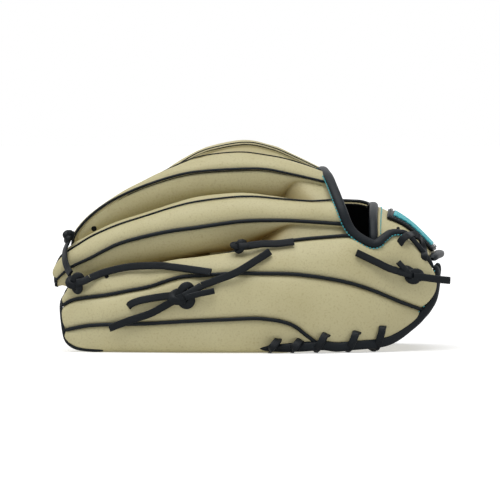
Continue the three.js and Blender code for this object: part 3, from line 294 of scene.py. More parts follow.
index = Stall(INDEX_UPPER, INDEX_LOWER, -3)
middle = Stall(MIDDLE_UPPER, MIDDLE_LOWER, 22)
ring = Stall(RING_UPPER, RING_LOWER, 46)
pinky = Stall(PINKY_UPPER, PINKY_SEAM, 62)
heel_flap = seam(HEEL_FLAP)
pinky_row = pinky.upper


def pinky_top_line(row):
    if row <= 11:
        return pinky_row(row)
    return heel_flap(row - 11 if row < 12 else 1 + (row - 12) * 2)


pinky.upper = pinky_top_line
thumb = Stall(THUMB_UPPER, THUMB_SEAM, -72)
pinky_lower, pinky_foot, pinky_inner_foot = map(seam, (PINKY_LOWER, PINKY_FOOT, PINKY_INNER_FOOT))
thumb_lower, thumb_foot, thumb_inner_foot = map(seam, (THUMB_LOWER, THUMB_FOOT, THUMB_INNER_FOOT))


def pocket(x, degrees):
    """A point of the pocket's leather at x: 0 degrees at the near foot, 180 at the far one."""
    stations = [row[0] * LENGTH / 100 for row in POCKET]
    low = 0
    while low < len(stations) - 2 and x > stations[low + 1]:
        low += 1
    t = (x - stations[low]) / (stations[low + 1] - stations[low])
    row = [mix(a, b, t) for a, b in zip(POCKET[low], POCKET[low + 1])]
    near, apex, far = (value * WIDTH / 100 for value in row[1:4])
    foot, top = (value * HEIGHT / 100 for value in row[4:])
    angle = math.radians(degrees)
    across = abs(math.cos(angle)) ** ARCH_POWER
    up = abs(math.sin(angle)) ** ARCH_POWER
    y = mix(apex, near if degrees < 90 else far, across)
    return Vector((x, y, foot + (top - foot) * up))


def palm_x(row):
    return tabled(PALM_ROW_X, row - FIRST_POCKET_ROW) * LENGTH / 100


def thumb_x(row):
    return tabled(THUMB_ROW_X, row - FIRST_THUMB_ROW) * LENGTH / 100


def crease(x):
    return pocket(x, mix(125, 100, (x / LENGTH + 0.034) / 0.527))


def palm_point(row, line, degrees):
    if row <= 5.5:
        return line(row)
    in_pocket = pocket(palm_x(row), degrees)
    return line(min(row, 8)).lerp(in_pocket, smooth(5.5, 8, row))


def thumb_point(row, line, degrees):
    if row <= 4:
        return line(row)
    return line(min(row, 6)).lerp(pocket(thumb_x(row), degrees), smooth(4, 6, row))


def index_crease(row):
    edge = palm_point(row, index.inner_upper, 110)
    if row > FIRST_POCKET_ROW:
        edge = edge.lerp(crease(palm_x(row)), smooth(FIRST_POCKET_ROW, FIRST_POCKET_ROW + 1, row))
    return edge


PALM_LINES = {
    "pinky_upper": lambda row: palm_point(row, pinky.inner_upper, 35),
    "ring_lower": lambda row: palm_point(row, ring.inner_lower, 45),
    "ring_upper": lambda row: palm_point(row, ring.inner_upper, 56),
    "middle_lower": lambda row: palm_point(row, middle.inner_lower, 66),
    "middle_upper": lambda row: palm_point(row, middle.inner_upper, 77),
    "index_lower": lambda row: palm_point(row, index.inner_lower, 83),
    "index_upper": index_crease,
    "thumb_upper": lambda row: thumb_point(row, thumb.inner_upper, 137),
}


# Mesh tools.

def deselect():
    if bpy.context.object and bpy.context.object.mode != "OBJECT":
        bpy.ops.object.mode_set(mode="OBJECT")
    bpy.ops.object.select_all(action="DESELECT")


def choose(piece):
    deselect()
    piece.select_set(True)
    bpy.context.view_layer.objects.active = piece


def modify(piece, kind, **settings):
    """Adds a modifier and applies it."""
    choose(piece)
    modifier = piece.modifiers.new(kind.title(), kind)
    for key, value in settings.items():
        setattr(modifier, key, value)
    bpy.ops.object.modifier_apply(modifier=modifier.name)


def measure(piece, name, values):
    """Writes one number for each vertex, which the materials read."""
    attribute = piece.data.attributes.new(name, "FLOAT", "POINT")
    attribute.data.foreach_set("value", values)


def sheet_of(name, grid, thickness, way, keep=None, near=None, levels=1, deep=None):
    """Cuts a sheet of leather: a flat grid is added, laid on the rows of points, given its
    thickness on the inside and smoothed. near says how close each point is to a seam, and deep
    how much painted shade it gets."""
    rows, columns = len(grid), len(grid[0])
    deselect()
    bpy.ops.mesh.primitive_grid_add(x_subdivisions=rows - 1, y_subdivisions=columns - 1, size=1)
    piece = bpy.context.object
    piece.name = name
    piece.data.name = name
    where = {}
    for vertex in piece.data.vertices:
        i = round((vertex.co.x + 0.5) * (rows - 1))
        j = round((vertex.co.y + 0.5) * (columns - 1))
        where[vertex.index] = (i, j)
        vertex.co = grid[i][j] + TO_FRAME
    measure(piece, "near_seam", [near(*where[k]) if near else 0.0 for k in range(len(where))])
    # Painted shade: how much of the leather's darker, warmer valley tone each point gets.
    measure(piece, "painted_shade", [deep(*where[k]) if deep else 0.0 for k in range(len(where))])
    work = bmesh.new()
    work.from_mesh(piece.data)
    work.verts.ensure_lookup_table()
    if keep:
        gone = []
        for face in work.faces:
            i = min(where[v.index][0] for v in face.verts)
            j = min(where[v.index][1] for v in face.verts)
            if not keep(i, j):
                gone.append(face)
        bmesh.ops.delete(work, geom=gone, context="FACES")
    bmesh.ops.remove_doubles(work, verts=work.verts, dist=WELD)
    bmesh.ops.dissolve_degenerate(work, edges=work.edges, dist=SLIVER)
    work.faces.ensure_lookup_table()
    facing = sum(
        face.normal.dot(way(face.calc_center_median())) * face.calc_area() for face in work.faces
    )
    if facing < 0:
        bmesh.ops.reverse_faces(work, faces=work.faces)
    work.to_mesh(piece.data)
    work.free()
    if thickness:
        modify(piece, "SOLIDIFY", thickness=thickness, offset=-1, use_even_offset=False)
    if levels:
        modify(piece, "SUBSURF", levels=levels, render_levels=levels)
    choose(piece)
    bpy.ops.object.shade_smooth_by_angle(angle=math.radians(SHARP_DEGREES))
    return piece


def rounded(width, thick, count=12, power=3.2):
    """The outline of a strap or lace cut across: a rectangle with soft corners."""
    outline = []
    for k in range(count):
        a = 2 * math.pi * (k + 0.5) / count
        c, s = math.cos(a), math.sin(a)
        outline.append((
            math.copysign(abs(c) ** (2 / power), c) * width / 2,
            math.copysign(abs(s) ** (2 / power), s) * thick / 2,
        ))
    return outline


LACE_OUTLINE = rounded(LACE_WIDTH, LACE_THICK, 16, 5)


def tube_faces(rings, sides, first=0):
    """The faces of a closed tube, whose rings of points follow one another from point first."""
    faces = []
    for start in range(first, first + (rings - 1) * sides, sides):
        for k in range(sides):
            n = (k + 1) % sides
            faces.append((start + k, start + n, start + sides + n, start + sides + k))
    faces.append(tuple(first + k for k in reversed(range(sides))))
    faces.append(tuple(first + (rings - 1) * sides + k for k in range(sides)))
    return faces


def mesh_piece(name, points, faces, sharp_degrees=SHARP_DEGREES):
    """A piece from points and faces, turned outward and smoothed but for its sharp edges."""
    mesh = bpy.data.meshes.new(name)
    mesh.from_pydata(points, [], faces)
    piece = bpy.data.objects.new(name, mesh)
    bpy.context.scene.collection.objects.link(piece)
    work = bmesh.new()
    work.from_mesh(mesh)
    bmesh.ops.recalc_face_normals(work, faces=work.faces)
    work.to_mesh(mesh)
    work.free()
    choose(piece)
    bpy.ops.object.shade_smooth_by_angle(angle=math.radians(sharp_degrees))
    return piece


def sweep(name, path, outline, flat=None, scale=None, ends="flat"):
    """Draws an outline along a path. flat(i) points out of its flat face, scale(i) thins it."""
    count = len(path)
    rings, side = [], None
    for i, centre in enumerate(path):
        way = (path[min(count - 1, i + 1)] - path[max(0, i - 1)]).normalized()
        if flat:
            side = way.cross(flat(i))
        elif side is None:
            side = Vector((0, 0, 1)).cross(way)
            if side.length < 0.1:
                side = Vector((0, 1, 0))
        side = (side - way * side.dot(way)).normalized()
        up = side.cross(way)
        size = scale(i) if scale else 1
        if ends == "round":
            from_end = min(i, count - 1 - i)
            size *= (0.45, 0.8, 0.95)[from_end] if from_end < 3 else 1
        rings.append([centre + TO_FRAME + side * (x * size) + up * (y * size) for x, y in outline])
    sides = len(outline)
    piece = mesh_piece(name, [p for ring_points in rings for p in ring_points], tube_faces(count, sides))
    mesh = piece.data
    layer = mesh.uv_layers.new(name="along")
    run = [0.0]
    for a, b in zip(path, path[1:]):
        run.append(run[-1] + (b - a).length)
    for loop in mesh.loops:
        i, k = divmod(loop.vertex_index, sides)
        layer.data[loop.index].uv = (run[i], k / sides)
    return piece


def finish_piece(piece, body, slot, material, *nodes):
    piece.data.materials.clear()
    piece.data.materials.append(material)
    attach(piece, body)
    if nodes:
        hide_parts(*nodes)
    return piece


# Materials.

def node(tree, kind, x=0, y=0, **settings):
    made = tree.nodes.new(kind)
    made.location = (x, y)
    for key, value in settings.items():
        if hasattr(made, key):
            setattr(made, key, value)
        else:
            made.inputs[key.replace("_", " ")].default_value = value
    return made


def new_group(name, inputs, outputs):
    tree = bpy.data.node_groups.new(name, "ShaderNodeTree")
    for label, kind, value in inputs:
        socket = tree.interface.new_socket(name=label, in_out="INPUT", socket_type=kind)
        socket.default_value = value
    for label, kind in outputs:
        tree.interface.new_socket(name=label, in_out="OUTPUT", socket_type=kind)
    return tree, node(tree, "NodeGroupInput", -900), node(tree, "NodeGroupOutput", 900)


def math_node(tree, operation, a, b, x=0, y=0):
    made = node(tree, "ShaderNodeMath", x, y, operation=operation)
    for socket, value in zip(made.inputs, (a, b)):
        if isinstance(value, (int, float)):
            socket.default_value = value
        else:
            tree.links.new(value, socket)
    return made.outputs[0]


def mix_colour(tree, factor, a, b, x=0, y=0, blend="MIX"):
    made = node(tree, "ShaderNodeMix", x, y, data_type="RGBA", blend_type=blend)
    for socket, value in ((made.inputs[0], factor), (made.inputs[6], a), (made.inputs[7], b)):
        if isinstance(value, (int, float, tuple)):
            socket.default_value = value
        else:
            tree.links.new(value, socket)
    return made.outputs[2]


def leather_grain_group():
    """Pebbled grain with fine pores: a height, and a mask of the low places between pebbles."""
    tree, start, end = new_group(
        "leather_grain",
        [("Scale", "NodeSocketFloat", 700.0), ("Stretch", "NodeSocketFloat", 0.3)],
        [("Height", "NodeSocketFloat"), ("Pores", "NodeSocketFloat")],
    )
    where = node(tree, "ShaderNodeTexCoord", -900, -300)
    bend = node(tree, "ShaderNodeTexNoise", -700, -300, Scale=160.0, Detail=2.0)
    tree.links.new(where.outputs["Object"], bend.inputs["Vector"])
    push = node(tree, "ShaderNodeVectorMath", -500, -300, operation="MULTIPLY_ADD")
    push.inputs[1].default_value = (0.002, 0.002, 0.002)
    tree.links.new(bend.outputs["Color"], push.inputs[0])
    tree.links.new(where.outputs["Object"], push.inputs[2])
    cells = node(tree, "ShaderNodeTexVoronoi", -300, 0, feature="SMOOTH_F1")
    tree.links.new(push.outputs[0], cells.inputs["Vector"])
    tree.links.new(start.outputs["Scale"], cells.inputs["Scale"])
    fine = node(tree, "ShaderNodeTexNoise", -300, -300, Detail=4.0, Roughness=0.6)
    tree.links.new(push.outputs[0], fine.inputs["Vector"])
    tree.links.new(math_node(tree, "MULTIPLY", start.outputs["Scale"], 2.2, -500, 100), fine.inputs["Scale"])
    height = math_node(tree, "MULTIPLY", cells.outputs["Distance"], -0.8, 0, 0)
    height = math_node(tree, "ADD", height, math_node(
        tree, "MULTIPLY", fine.outputs[0], start.outputs["Stretch"], 0, -300), 200, 0)
    tree.links.new(math_node(tree, "ADD", height, 0.7, 400, 0), end.inputs["Height"])
    pores = node(tree, "ShaderNodeMapRange", 200, 200, From_Min=0.45, From_Max=0.85)
    tree.links.new(cells.outputs["Distance"], pores.inputs["Value"])
    tree.links.new(pores.outputs[0], end.inputs["Pores"])
    return tree


def handling_group():
    """Slow changes of tone from tanning and handling, and faint long creases."""
    tree, start, end = new_group(
        "tanning_and_handling",
        [("Patch size", "NodeSocketFloat", 22.0), ("Crease size", "NodeSocketFloat", 60.0)],
        [("Tone", "NodeSocketFloat"), ("Creases", "NodeSocketFloat")],
    )
    where = node(tree, "ShaderNodeTexCoord", -900, -300)
    patches = node(tree, "ShaderNodeTexNoise", -500, 0, Detail=3.0, Roughness=0.55)
    tree.links.new(where.outputs["Object"], patches.inputs["Vector"])
    tree.links.new(start.outputs["Patch size"], patches.inputs["Scale"])
    tree.links.new(patches.outputs[0], end.inputs["Tone"])
    long = node(tree, "ShaderNodeMapping", -700, -300)
    long.inputs["Scale"].default_value = (0.35, 1.6, 1.6)
    long.inputs["Rotation"].default_value = (0.2, 0.35, 0.5)
    tree.links.new(where.outputs["Object"], long.inputs["Vector"])
    lines = node(tree, "ShaderNodeTexNoise", -500, -300, Detail=3.0, Distortion=0.8)
    tree.links.new(long.outputs[0], lines.inputs["Vector"])
    tree.links.new(start.outputs["Crease size"], lines.inputs["Scale"])
    middle_of = math_node(tree, "ABSOLUTE", math_node(
        tree, "SUBTRACT", lines.outputs[0], 0.5, -300, -300), 0, -100, -300)
    sharp = node(tree, "ShaderNodeMapRange", 100, -300, From_Min=0.0, From_Max=0.02)
    tree.links.new(middle_of, sharp.inputs["Value"])
    tree.links.new(sharp.outputs[0], end.inputs["Creases"])
    return tree


def surface(name, roughness, specular=0.35, sheen=0.0, coat=0.0):
    material = bpy.data.materials.new(name)
    material.use_nodes = True
    tree = material.node_tree
    shader = tree.nodes["Principled BSDF"]
    shader.inputs["Roughness"].default_value = roughness
    shader.inputs["Specular IOR Level"].default_value = specular
    shader.inputs["Sheen Weight"].default_value = sheen
    shader.inputs["Coat Weight"].default_value = coat
    return material, tree, shader


def use_group(tree, group, x, y, **values):
    made = node(tree, "ShaderNodeGroup", x, y)
    made.node_tree = group
    for key, value in values.items():
        made.inputs[key.replace("_", " ")].default_value = value
    return made


GRAIN = leather_grain_group()
HANDLING = handling_group()


def leather(name, light, dark, seam_tone, painted_shade, roughness, grain_scale, grain_depth, specular=0.35,
            crease_depth=0.00006, sheen=0.0):
    """Leather of two close tones, darker in the pores and along seams, with painted shade mixed in down in
    the folds of the valleys.
    """
    material, tree, shader = surface(name, roughness, specular, sheen)
    grain = use_group(tree, GRAIN, -1100, 0, Scale=grain_scale)
    wear = use_group(tree, HANDLING, -1100, -300)
    tone = node(tree, "ShaderNodeMapRange", -900, 300, From_Min=0.3, From_Max=0.7)
    tree.links.new(wear.outputs["Tone"], tone.inputs["Value"])
    base = mix_colour(tree, tone.outputs[0], light, dark, -700, 300)
    pores = math_node(tree, "MULTIPLY", grain.outputs["Pores"], 0.35, -700, 0)
    base = mix_colour(tree, pores, base, seam_tone, -500, 300)
    close = node(tree, "ShaderNodeAttribute", -900, 600, attribute_name="near_seam")
    base = mix_colour(tree, math_node(tree, "MULTIPLY", close.outputs["Fac"], 0.5, -700, 600),
                      base, seam_tone, -300, 300)
    # Painted shade: down in the valleys the colour is mixed toward a darker, warmer tone, as much as the
    # sheet's painted shade attribute says.
    deep = node(tree, "ShaderNodeAttribute", -900, 800, attribute_name="painted_shade")
    base = mix_colour(tree, deep.outputs["Fac"], base, painted_shade, -100, 300)
    tree.links.new(base, shader.inputs["Base Color"])
    rough = node(tree, "ShaderNodeMapRange", -500, -100, To_Min=roughness - 0.06, To_Max=roughness + 0.08)
    tree.links.new(grain.outputs["Height"], rough.inputs["Value"])
    tree.links.new(rough.outputs[0], shader.inputs["Roughness"])
    folds = node(tree, "ShaderNodeBump", -500, -400, Strength=0.5, Distance=crease_depth)
    tree.links.new(wear.outputs["Creases"], folds.inputs["Height"])
    bump = node(tree, "ShaderNodeBump", -300, -300, Strength=0.7, Distance=grain_depth)
    tree.links.new(grain.outputs["Height"], bump.inputs["Height"])
    tree.links.new(folds.outputs[0], bump.inputs["Normal"])
    tree.links.new(bump.outputs[0], shader.inputs["Normal"])
    return material


# Each leather's colours: light and dark tone, the tone of pores and seams, and a painted shade tone for the
# valleys.
CREAM = leather("cream_leather", (0.68, 0.625, 0.37, 1), (0.62, 0.56, 0.315, 1), (0.40, 0.32, 0.14, 1),
                (0.36, 0.25, 0.085, 1), 0.5, 900.0, 0.00016)
BLACK = leather("black_binding_leather", (0.009, 0.013, 0.017, 1), (0.006, 0.009, 0.012, 1),
                (0.003, 0.004, 0.005, 1), (0.002, 0.002, 0.003, 1), 0.42, 1100.0, 0.00014, 0.16)
RAWHIDE = leather("black_rawhide", (0.009, 0.012, 0.015, 1), (0.004, 0.006, 0.008, 1),
                  (0.002, 0.003, 0.004, 1), (0.002, 0.002, 0.002, 1), 0.44, 1500.0, 0.0002, 0.16, 0.00018)
LINING = leather("black_lining_leather", (0.010, 0.011, 0.012, 1), (0.006, 0.007, 0.008, 1),
                 (0.003, 0.003, 0.004, 1), (0.002, 0.002, 0.003, 1), 0.8, 1200.0, 0.0001, 0.15)


def object_place(tree):
    """Where a point lies on the piece itself, so that a pattern stays with it."""
    return node(tree, "ShaderNodeTexCoord", -900, 0).outputs["Object"]


def add_relief(tree, shader, height, strength, distance):
    bump = node(tree, "ShaderNodeBump", -300, -200, Strength=strength, Distance=distance)
    tree.links.new(height, bump.inputs["Height"])
    tree.links.new(bump.outputs[0], shader.inputs["Normal"])


def patterned(name, finish, kind, dark, light, relief, **settings):
    """A material whose tone and relief follow one fine pattern."""
    material, tree, shader = surface(name, *finish)
    pattern = node(tree, kind, -600, 0, **settings)
    tree.links.new(object_place(tree), pattern.inputs["Vector"])
    tone = pattern.outputs["Fac"]
    tree.links.new(mix_colour(tree, tone, dark, light, -300, 100), shader.inputs["Base Color"])
    add_relief(tree, shader, tone, *relief)
    return material


def thread(name, colour, dark):
    """Twisted thread: turns of ply across each stitch."""
    return patterned(name, (0.45, 0.4, 0.15), "ShaderNodeTexWave", dark, colour, (0.6, 0.0001),
                     wave_type="BANDS", bands_direction="DIAGONAL", Scale=900.0, Distortion=1.0)


BLUE_THREAD = thread("turquoise_thread", (0.10, 0.66, 0.75, 1), (0.05, 0.42, 0.50, 1))
CREAM_THREAD = thread("cream_thread", (0.60, 0.55, 0.36, 1), (0.38, 0.33, 0.19, 1))
DARK_THREAD = thread("black_thread", (0.02, 0.025, 0.03, 1), (0.008, 0.01, 0.012, 1))
FELT = patterned("wool_felt", (0.95, 0.1, 0.3), "ShaderNodeTexNoise", (0.50, 0.47, 0.40, 1),
                 (0.78, 0.75, 0.68, 1), (0.8, 0.0006), Scale=1400.0, Detail=6.0, Distortion=1.5)
STAY = patterned("stiffener_plastic", (0.5, 0.4), "ShaderNodeTexNoise", (0.016, 0.016, 0.017, 1),
                 (0.034, 0.034, 0.036, 1), (0.4, 0.0001), Scale=500.0, Detail=4.0)


def patch_material():
    """Moulded rubber patch: fine ribs across, a little dust in the grooves."""
    material, tree, shader = surface("turquoise_patch_rubber", 0.42, 0.4)
    place_on = object_place(tree)
    ribs = node(tree, "ShaderNodeTexWave", -600, 0, wave_type="BANDS", bands_direction="Y", Scale=260.0,
                Distortion=0.3, Detail=1.0)
    grit = node(tree, "ShaderNodeTexNoise", -600, -300, Scale=900.0, Detail=3.0)
    for pattern in (ribs, grit):
        tree.links.new(place_on, pattern.inputs["Vector"])
    colour = mix_colour(tree, ribs.outputs["Fac"], (0.04, 0.44, 0.50, 1), (0.10, 0.68, 0.76, 1), -300, 200)
    dust = math_node(tree, "MULTIPLY", grit.outputs[0], 0.25, -450, -200)
    colour = mix_colour(tree, dust, colour, (0.06, 0.50, 0.56, 1), -100, 200)
    tree.links.new(colour, shader.inputs["Base Color"])
    add_relief(tree, shader, ribs.outputs["Fac"], 0.8, 0.0004)
    return material


PATCH = patch_material()


# Camera and free laces.

NEAREST_DEPTH = -0.087
SENSOR_WIDTH = 36


def photo_point(px, py, y):
    """The place, before TO_FRAME, that shows at a pixel of the photograph, at depth y."""
    drop = (y - NEAREST_DEPTH) * math.tan(math.radians(CAMERA_RISE))
    scale = MM_PER_PIXEL * MM
    return Vector(((px - MID_PIXEL) * scale, y, (FLOOR_PIXEL - py) * scale - drop))


CAMERA_RISE = 1.6
CAMERA_AWAY = 3.5
PHOTO_SIDE = 500
aim_at = photo_point(PHOTO_SIDE / 2, PHOTO_SIDE / 2, -0.05) + TO_FRAME
rise = math.radians(CAMERA_RISE)
deselect()
bpy.ops.object.camera_add(
    location=aim_at + Vector((0, -math.cos(rise), math.sin(rise))) * CAMERA_AWAY,
    rotation=(math.pi / 2 - rise, 0, 0),
)
camera = bpy.context.object
camera.name = "camera"
camera.data.sensor_width = SENSOR_WIDTH
camera.data.lens = SENSOR_WIDTH * CAMERA_AWAY / (PHOTO_SIDE * MM_PER_PIXEL * MM)
camera.data.clip_end = 30
bpy.context.scene.camera = camera


def toward(way):
    return lambda i: way


def free_lace(name, points, flat):
    """A loose end of rawhide lace, cut square at its end."""
    path = smooth_path([Vector(p) * MM for p in points], TAIL_STEP)
    piece = sweep(name, path, LACE_OUTLINE, flat)
    finish_piece(piece, "palm", "black_rawhide", RAWHIDE, name)
    length = sum((b - a).length for a, b in zip(path, path[1:]))
    return piece


# Routes in millimetres, from each knot outward. They are the routes of the part's source, but
# for tip_tail, which hangs about 3 mm lower here, as the photograph shows.
LACE_ENDS = {
    "tip_tail": [
        (-116, -68, 55.5), (-104, -67.5, 60), (-86, -71.5, 64), (-64, -77, 65), (-54.7, -80.5, 64.2),
        (-40, -86, 62.5), (-25, -91.5, 60.5),
    ],
    "pinky_tail_up": [
        (-32, -93.5, 50.5), (-20, -92.7, 55), (-6, -93.7, 60.5), (8, -88.5, 68.8), (19, -83.7, 75.8),
    ],
    "pinky_tail_down": [
        (-55.4, -93.4, 37.8), (-61, -92.2, 34.6), (-71, -90.6, 29.3), (-85, -89.6, 24.7), (-101, -86.6, 18.5),
    ],
    "crotch_tail": [(3.1, -80.2, 80.2), (13, -78.4, 81.3), (25, -78.5, 81.6), (37, -77.3, 83)],
    "strap_tail": [(115.5, -67.3, 60.5), (108, -69, 63), (100, -71.7, 67), (84, -74.6, 74.7)],
}
LACE_FACES = {
    "tip_tail": Vector((0, -1, 0.35)),
    "pinky_tail_up": Vector((0.1, -1, 0.3)),
    "pinky_tail_down": Vector((-0.1, -1, 0.1)),
    "crotch_tail": Vector((0, -1, 0.5)),
    "strap_tail": Vector((0.1, -1, 0.5)),
}
for lace_name, lace_points in LACE_ENDS.items():
    free_lace(lace_name, lace_points, toward(LACE_FACES[lace_name]))


# Leather of the stalls.

def near_edges(lines, reach=3):
    """How close column j of a panel is to the seams at its two sides."""
    return lambda i, j: clamp(1 - min(j, lines - 1 - j) / reach)


def eased(count):
    """Shares from 0 to 1, closer together near both ends."""
    shares = [mix(k / count, smooth(0, 1, k / count), 0.2) for k in range(count + 1)]
    return [0.5 - 0.5 * math.cos(math.pi * share) for share in shares]


TUCK, TUCK_WIDTH = 0.0015, 0.0045


def tucked(distance):
    """How far leather dips into a seam that is this far away."""
    return TUCK * (1 - smooth(0, TUCK_WIDTH, distance))


def cross_line(a, b, normal, bulge, shares, lift=None):
    width = (b - a).length
    line = []
    for v in shares:
        rise = bowed(v) * bulge * width - tucked(v * width) - tucked((1 - v) * width)
        if lift:
            rise += lift(v)
        line.append(a.lerp(b, v) + normal * rise)
    return line


def panel_normal(upper, lower, row):
    a, b = upper(row), lower(row)
    along = upper(row + 0.2) + lower(row + 0.2) - upper(row - 0.2) - lower(row - 0.2)
    normal = along.cross(b - a).normalized()
    return -normal if normal.dot(outward_at(a)) < 0 else normal


def finger_end(stall, reach):
    """Where a finger's two seams start, the middle between them and how far the tip stands out."""
    a, b = stall.upper(0), stall.lower(0)
    along = (stall.upper(0.5) + stall.lower(0.5) - a - b).normalized()
    tip = -along * reach - stall.depth_way(0) * (0.5 * STALL_DEPTH * DEPTH_SHARES[0])
    return a, b, (a + b) / 2, tip


def back_panel(name, stall, rows, bulge, lift=None):
    """The back of a finger: a tongue of leather that ends in a rounded tip."""
    shares = eased(14)
    grid = []
    a, b, mid, tip = finger_end(stall, TIP_REACH)
    for turn in (84, 66, 46, 24):
        c, s = math.cos(math.radians(turn)), math.sin(math.radians(turn))
        ends = [mid + (p - mid) * c + tip * s for p in (a, b)]
        grid.append(cross_line(*ends, panel_normal(stall.upper, stall.lower, 0.3), bulge * c, shares))
    for row in rows:
        normal = panel_normal(stall.upper, stall.lower, max(row, 0.3))
        lift_here = (lambda v, row=row: lift(row, v)) if lift else None
        grid.append(cross_line(stall.upper(row), stall.lower(row), normal, bulge, shares, lift_here))
    return sheet_of(name, grid, LEATHER, outward_at, near=near_edges(15))


FINGER_ROWS = spread(0, 1, 4)[:-1] + spread(1, LAST_EDGE, 40)


def gentle(seed, size, depth):
    """Slow unevenness of worn leather, the same on every run."""
    def lift(row, v):
        return depth * noise.noise(Vector((row * size, v * size * 0.8, seed))) * bowed(v)
    return lift


for name, stall, bulge, seed in (
    ("index", index, 0.13, 1), ("middle", middle, 0.13, 2), ("ring", ring, 0.18, 3),
):
    panel = back_panel(name + "_back_leather", stall, FINGER_ROWS, bulge, gentle(seed, 1.1, 0.0012))
    finish_piece(panel, "palm", "cream_leather", CREAM, name + "_back")


# The little finger's upper seam lies inside the valley as far as the crotch, so its back leather
# rolls over the top edge.
PINKY_ROLL = 0.006


def pinky_roll(row):
    return PINKY_ROLL * (1 - smooth(7.2, 8.8, row)) * smooth(0, 1.5, row)


def pinky_upper_seam(row):
    return pinky.upper(row) - pinky.depth_way(row) * pinky_roll(row) + Vector((0, 0.2, 0)) * pinky_roll(row)


def rolled_line(row, shares, bulge):
    a, top, b = pinky_upper_seam(row), pinky.upper(row), pinky.lower(row)
    normal = panel_normal(pinky.upper, pinky.lower, max(row, 0.3))
    roll = pinky_roll(row) / PINKY_ROLL
    line = []
    width = (b - top).length
    for v in shares:
        flat = top.lerp(b, v) + normal * (bowed(v) * bulge * width)
        u = clamp(v / 0.3)
        over = a.lerp(top + normal * (0.45 * PINKY_ROLL), math.sin(u * math.pi / 2)) \
            + (b - top) * (0.3 * (1 - math.cos(u * math.pi / 2)))
        shaped = flat.lerp(over.lerp(flat, smooth(0.35, 1, u)), roll)
        dip = tucked(v * width) * (1 - roll) + tucked((1 - v) * width)
        line.append(shaped - normal * dip)
    return line


PINKY_ROWS = spread(0, 1, 4)[:-1] + spread(1, 13.9, 52)
pinky_shares = eased(16)


def pinky_lift(row, v):
    """Soft folds where the little finger leaves the hand, and dents round the strap knot."""
    fold = 0.0016 * math.exp(-((row - 8.3 - 1.2 * v) / 0.28) ** 2)
    fold *= smooth(0.02, 0.2, v) * (1 - smooth(0.45, 0.8, v))
    dent = 0.0022 * math.exp(-(((row - 12.6) / 0.5) ** 2 + ((v - 0.55) / 0.25) ** 2))
    return -fold - dent + 0.0012 * noise.noise(Vector((row * 1.1, v * 0.9, 4.0)))


grid = []
for row in PINKY_ROWS:
    line = rolled_line(row, pinky_shares, 0.1)
    normal = panel_normal(pinky.upper, pinky.lower, max(row, 0.3))
    bow = Vector((0.0062, -0.001, 0)) * smooth(12.6, 13.9, row)
    grid.append([p + (normal * pinky_lift(row, v) + bow) * bowed(v) for p, v in zip(line, pinky_shares)])
panel = sheet_of("pinky_back_leather", grid, LEATHER, outward_at, near=near_edges(17))
finish_piece(panel, "palm", "cream_leather", CREAM, "pinky_back")


def line_inside(piece):
    """The hand's lining shows on the inner faces."""
    piece.data.materials.append(LINING)
    for face in piece.data.polygons:
        if face.normal.dot(outward_at(face.center - TO_FRAME)) < 0:
            face.material_index = 1


def side_panel(name, upper, lower, rows, bulge, seed):
    shares = eased(12)
    lift = gentle(seed, 1.0, 0.001)
    grid = []
    for row in rows:
        normal = panel_normal(upper, lower, max(row, 0.3))
        grid.append(cross_line(upper(row), lower(row), normal, bulge, shares,
                               lambda v, row=row: lift(row, v)))
    return sheet_of(name, grid, LEATHER, outward_at, near=near_edges(13))


for name, upper, lower, last, rows, bulge, seed, body, node_name in (
    ("pinky_side_leather", pinky.lower, pinky_lower, 14.6, 60, 0.09, 5, "palm", "pinky_outer_back"),
    ("thumb_back_leather", thumb.upper, thumb.lower, 12.7, 50, 0.12, 6, "thumb", "thumb_back"),
    ("thumb_side_leather", thumb.lower, thumb_lower, 12.7, 50, 0.1, 7, "thumb", "thumb_outer_back"),
):
    panel = side_panel(name, upper, lower, spread(0, last, rows), bulge, seed)
    finish_piece(panel, body, "cream_leather", CREAM, node_name)


# Side leather in the valleys.

WALL, FLOOR = 9, 4
# Painted shade of a valley that has no entry in the table below.
VALLEY_SHADE = 0.7


def bump_at(v, peak):
    """A rise from 0 to 1 and back, highest at share peak."""
    power = math.log(0.5) / math.log(peak)
    return math.sin(math.pi * v ** power)


def valley(high, low, high_palm, low_palm, row, other, rise, crotch,
           high_swell, low_swell, low_peak, arch, drop=0.0):
    """One cross line: down the high stall's side, over the floor and up the low stall's side."""
    risen = smooth(rise, crotch, row)
    reach = mix(1, 0.12, risen)
    pairs = []
    for outer, inner, at in ((high, high_palm, row), (low, low_palm, other)):
        top = outer(at)
        straight_in = top - outward_at(top).normalized() * STALL_DEPTH
        pairs.append((top, inner(at).lerp(straight_in, risen)))
    across = pairs[1][0] - pairs[0][0]
    sag = (1 - smooth(7.5, 9.5, row)) * mix(0.85, 1.25, smooth(0, 2.2, row))
    walls = []
    for (top, bottom), sign, swell, peak in (
        (pairs[0], 1, high_swell, 0.5), (pairs[1], -1, low_swell, low_peak),
    ):
        tall = (bottom - top).length
        down = (bottom - top).normalized()
        way = (across - down * across.dot(down)).normalized() * sign
        near_tip = smooth(0, 2, row)
        line = []
        for k in range(WALL + 1):
            v = k / WALL
            share = v * reach
            push = swell * bump_at(v, peak) * near_tip * (1 - risen)
            hang = drop * smooth(0, 0.5, v) * sag
            seat = top.lerp(bottom, share) - outward_at(top).normalized() * tucked(share * tall)
            line.append(seat + way * push - Vector((hang * 0.4, 0, hang)) * (1 if sign > 0 else 0))
        walls.append(line)
    start, end = walls[0][-1], walls[1][-1]
    lift = outward_at((start + end) / 2).normalized()
    span = (start - end).length * arch
    floor_shares = [k / FLOOR for k in range(1, FLOOR)]
    floor = [start.lerp(end, v) + lift * (bowed(v) * span) for v in floor_shares]
    return walls[0] + floor + walls[1][::-1]


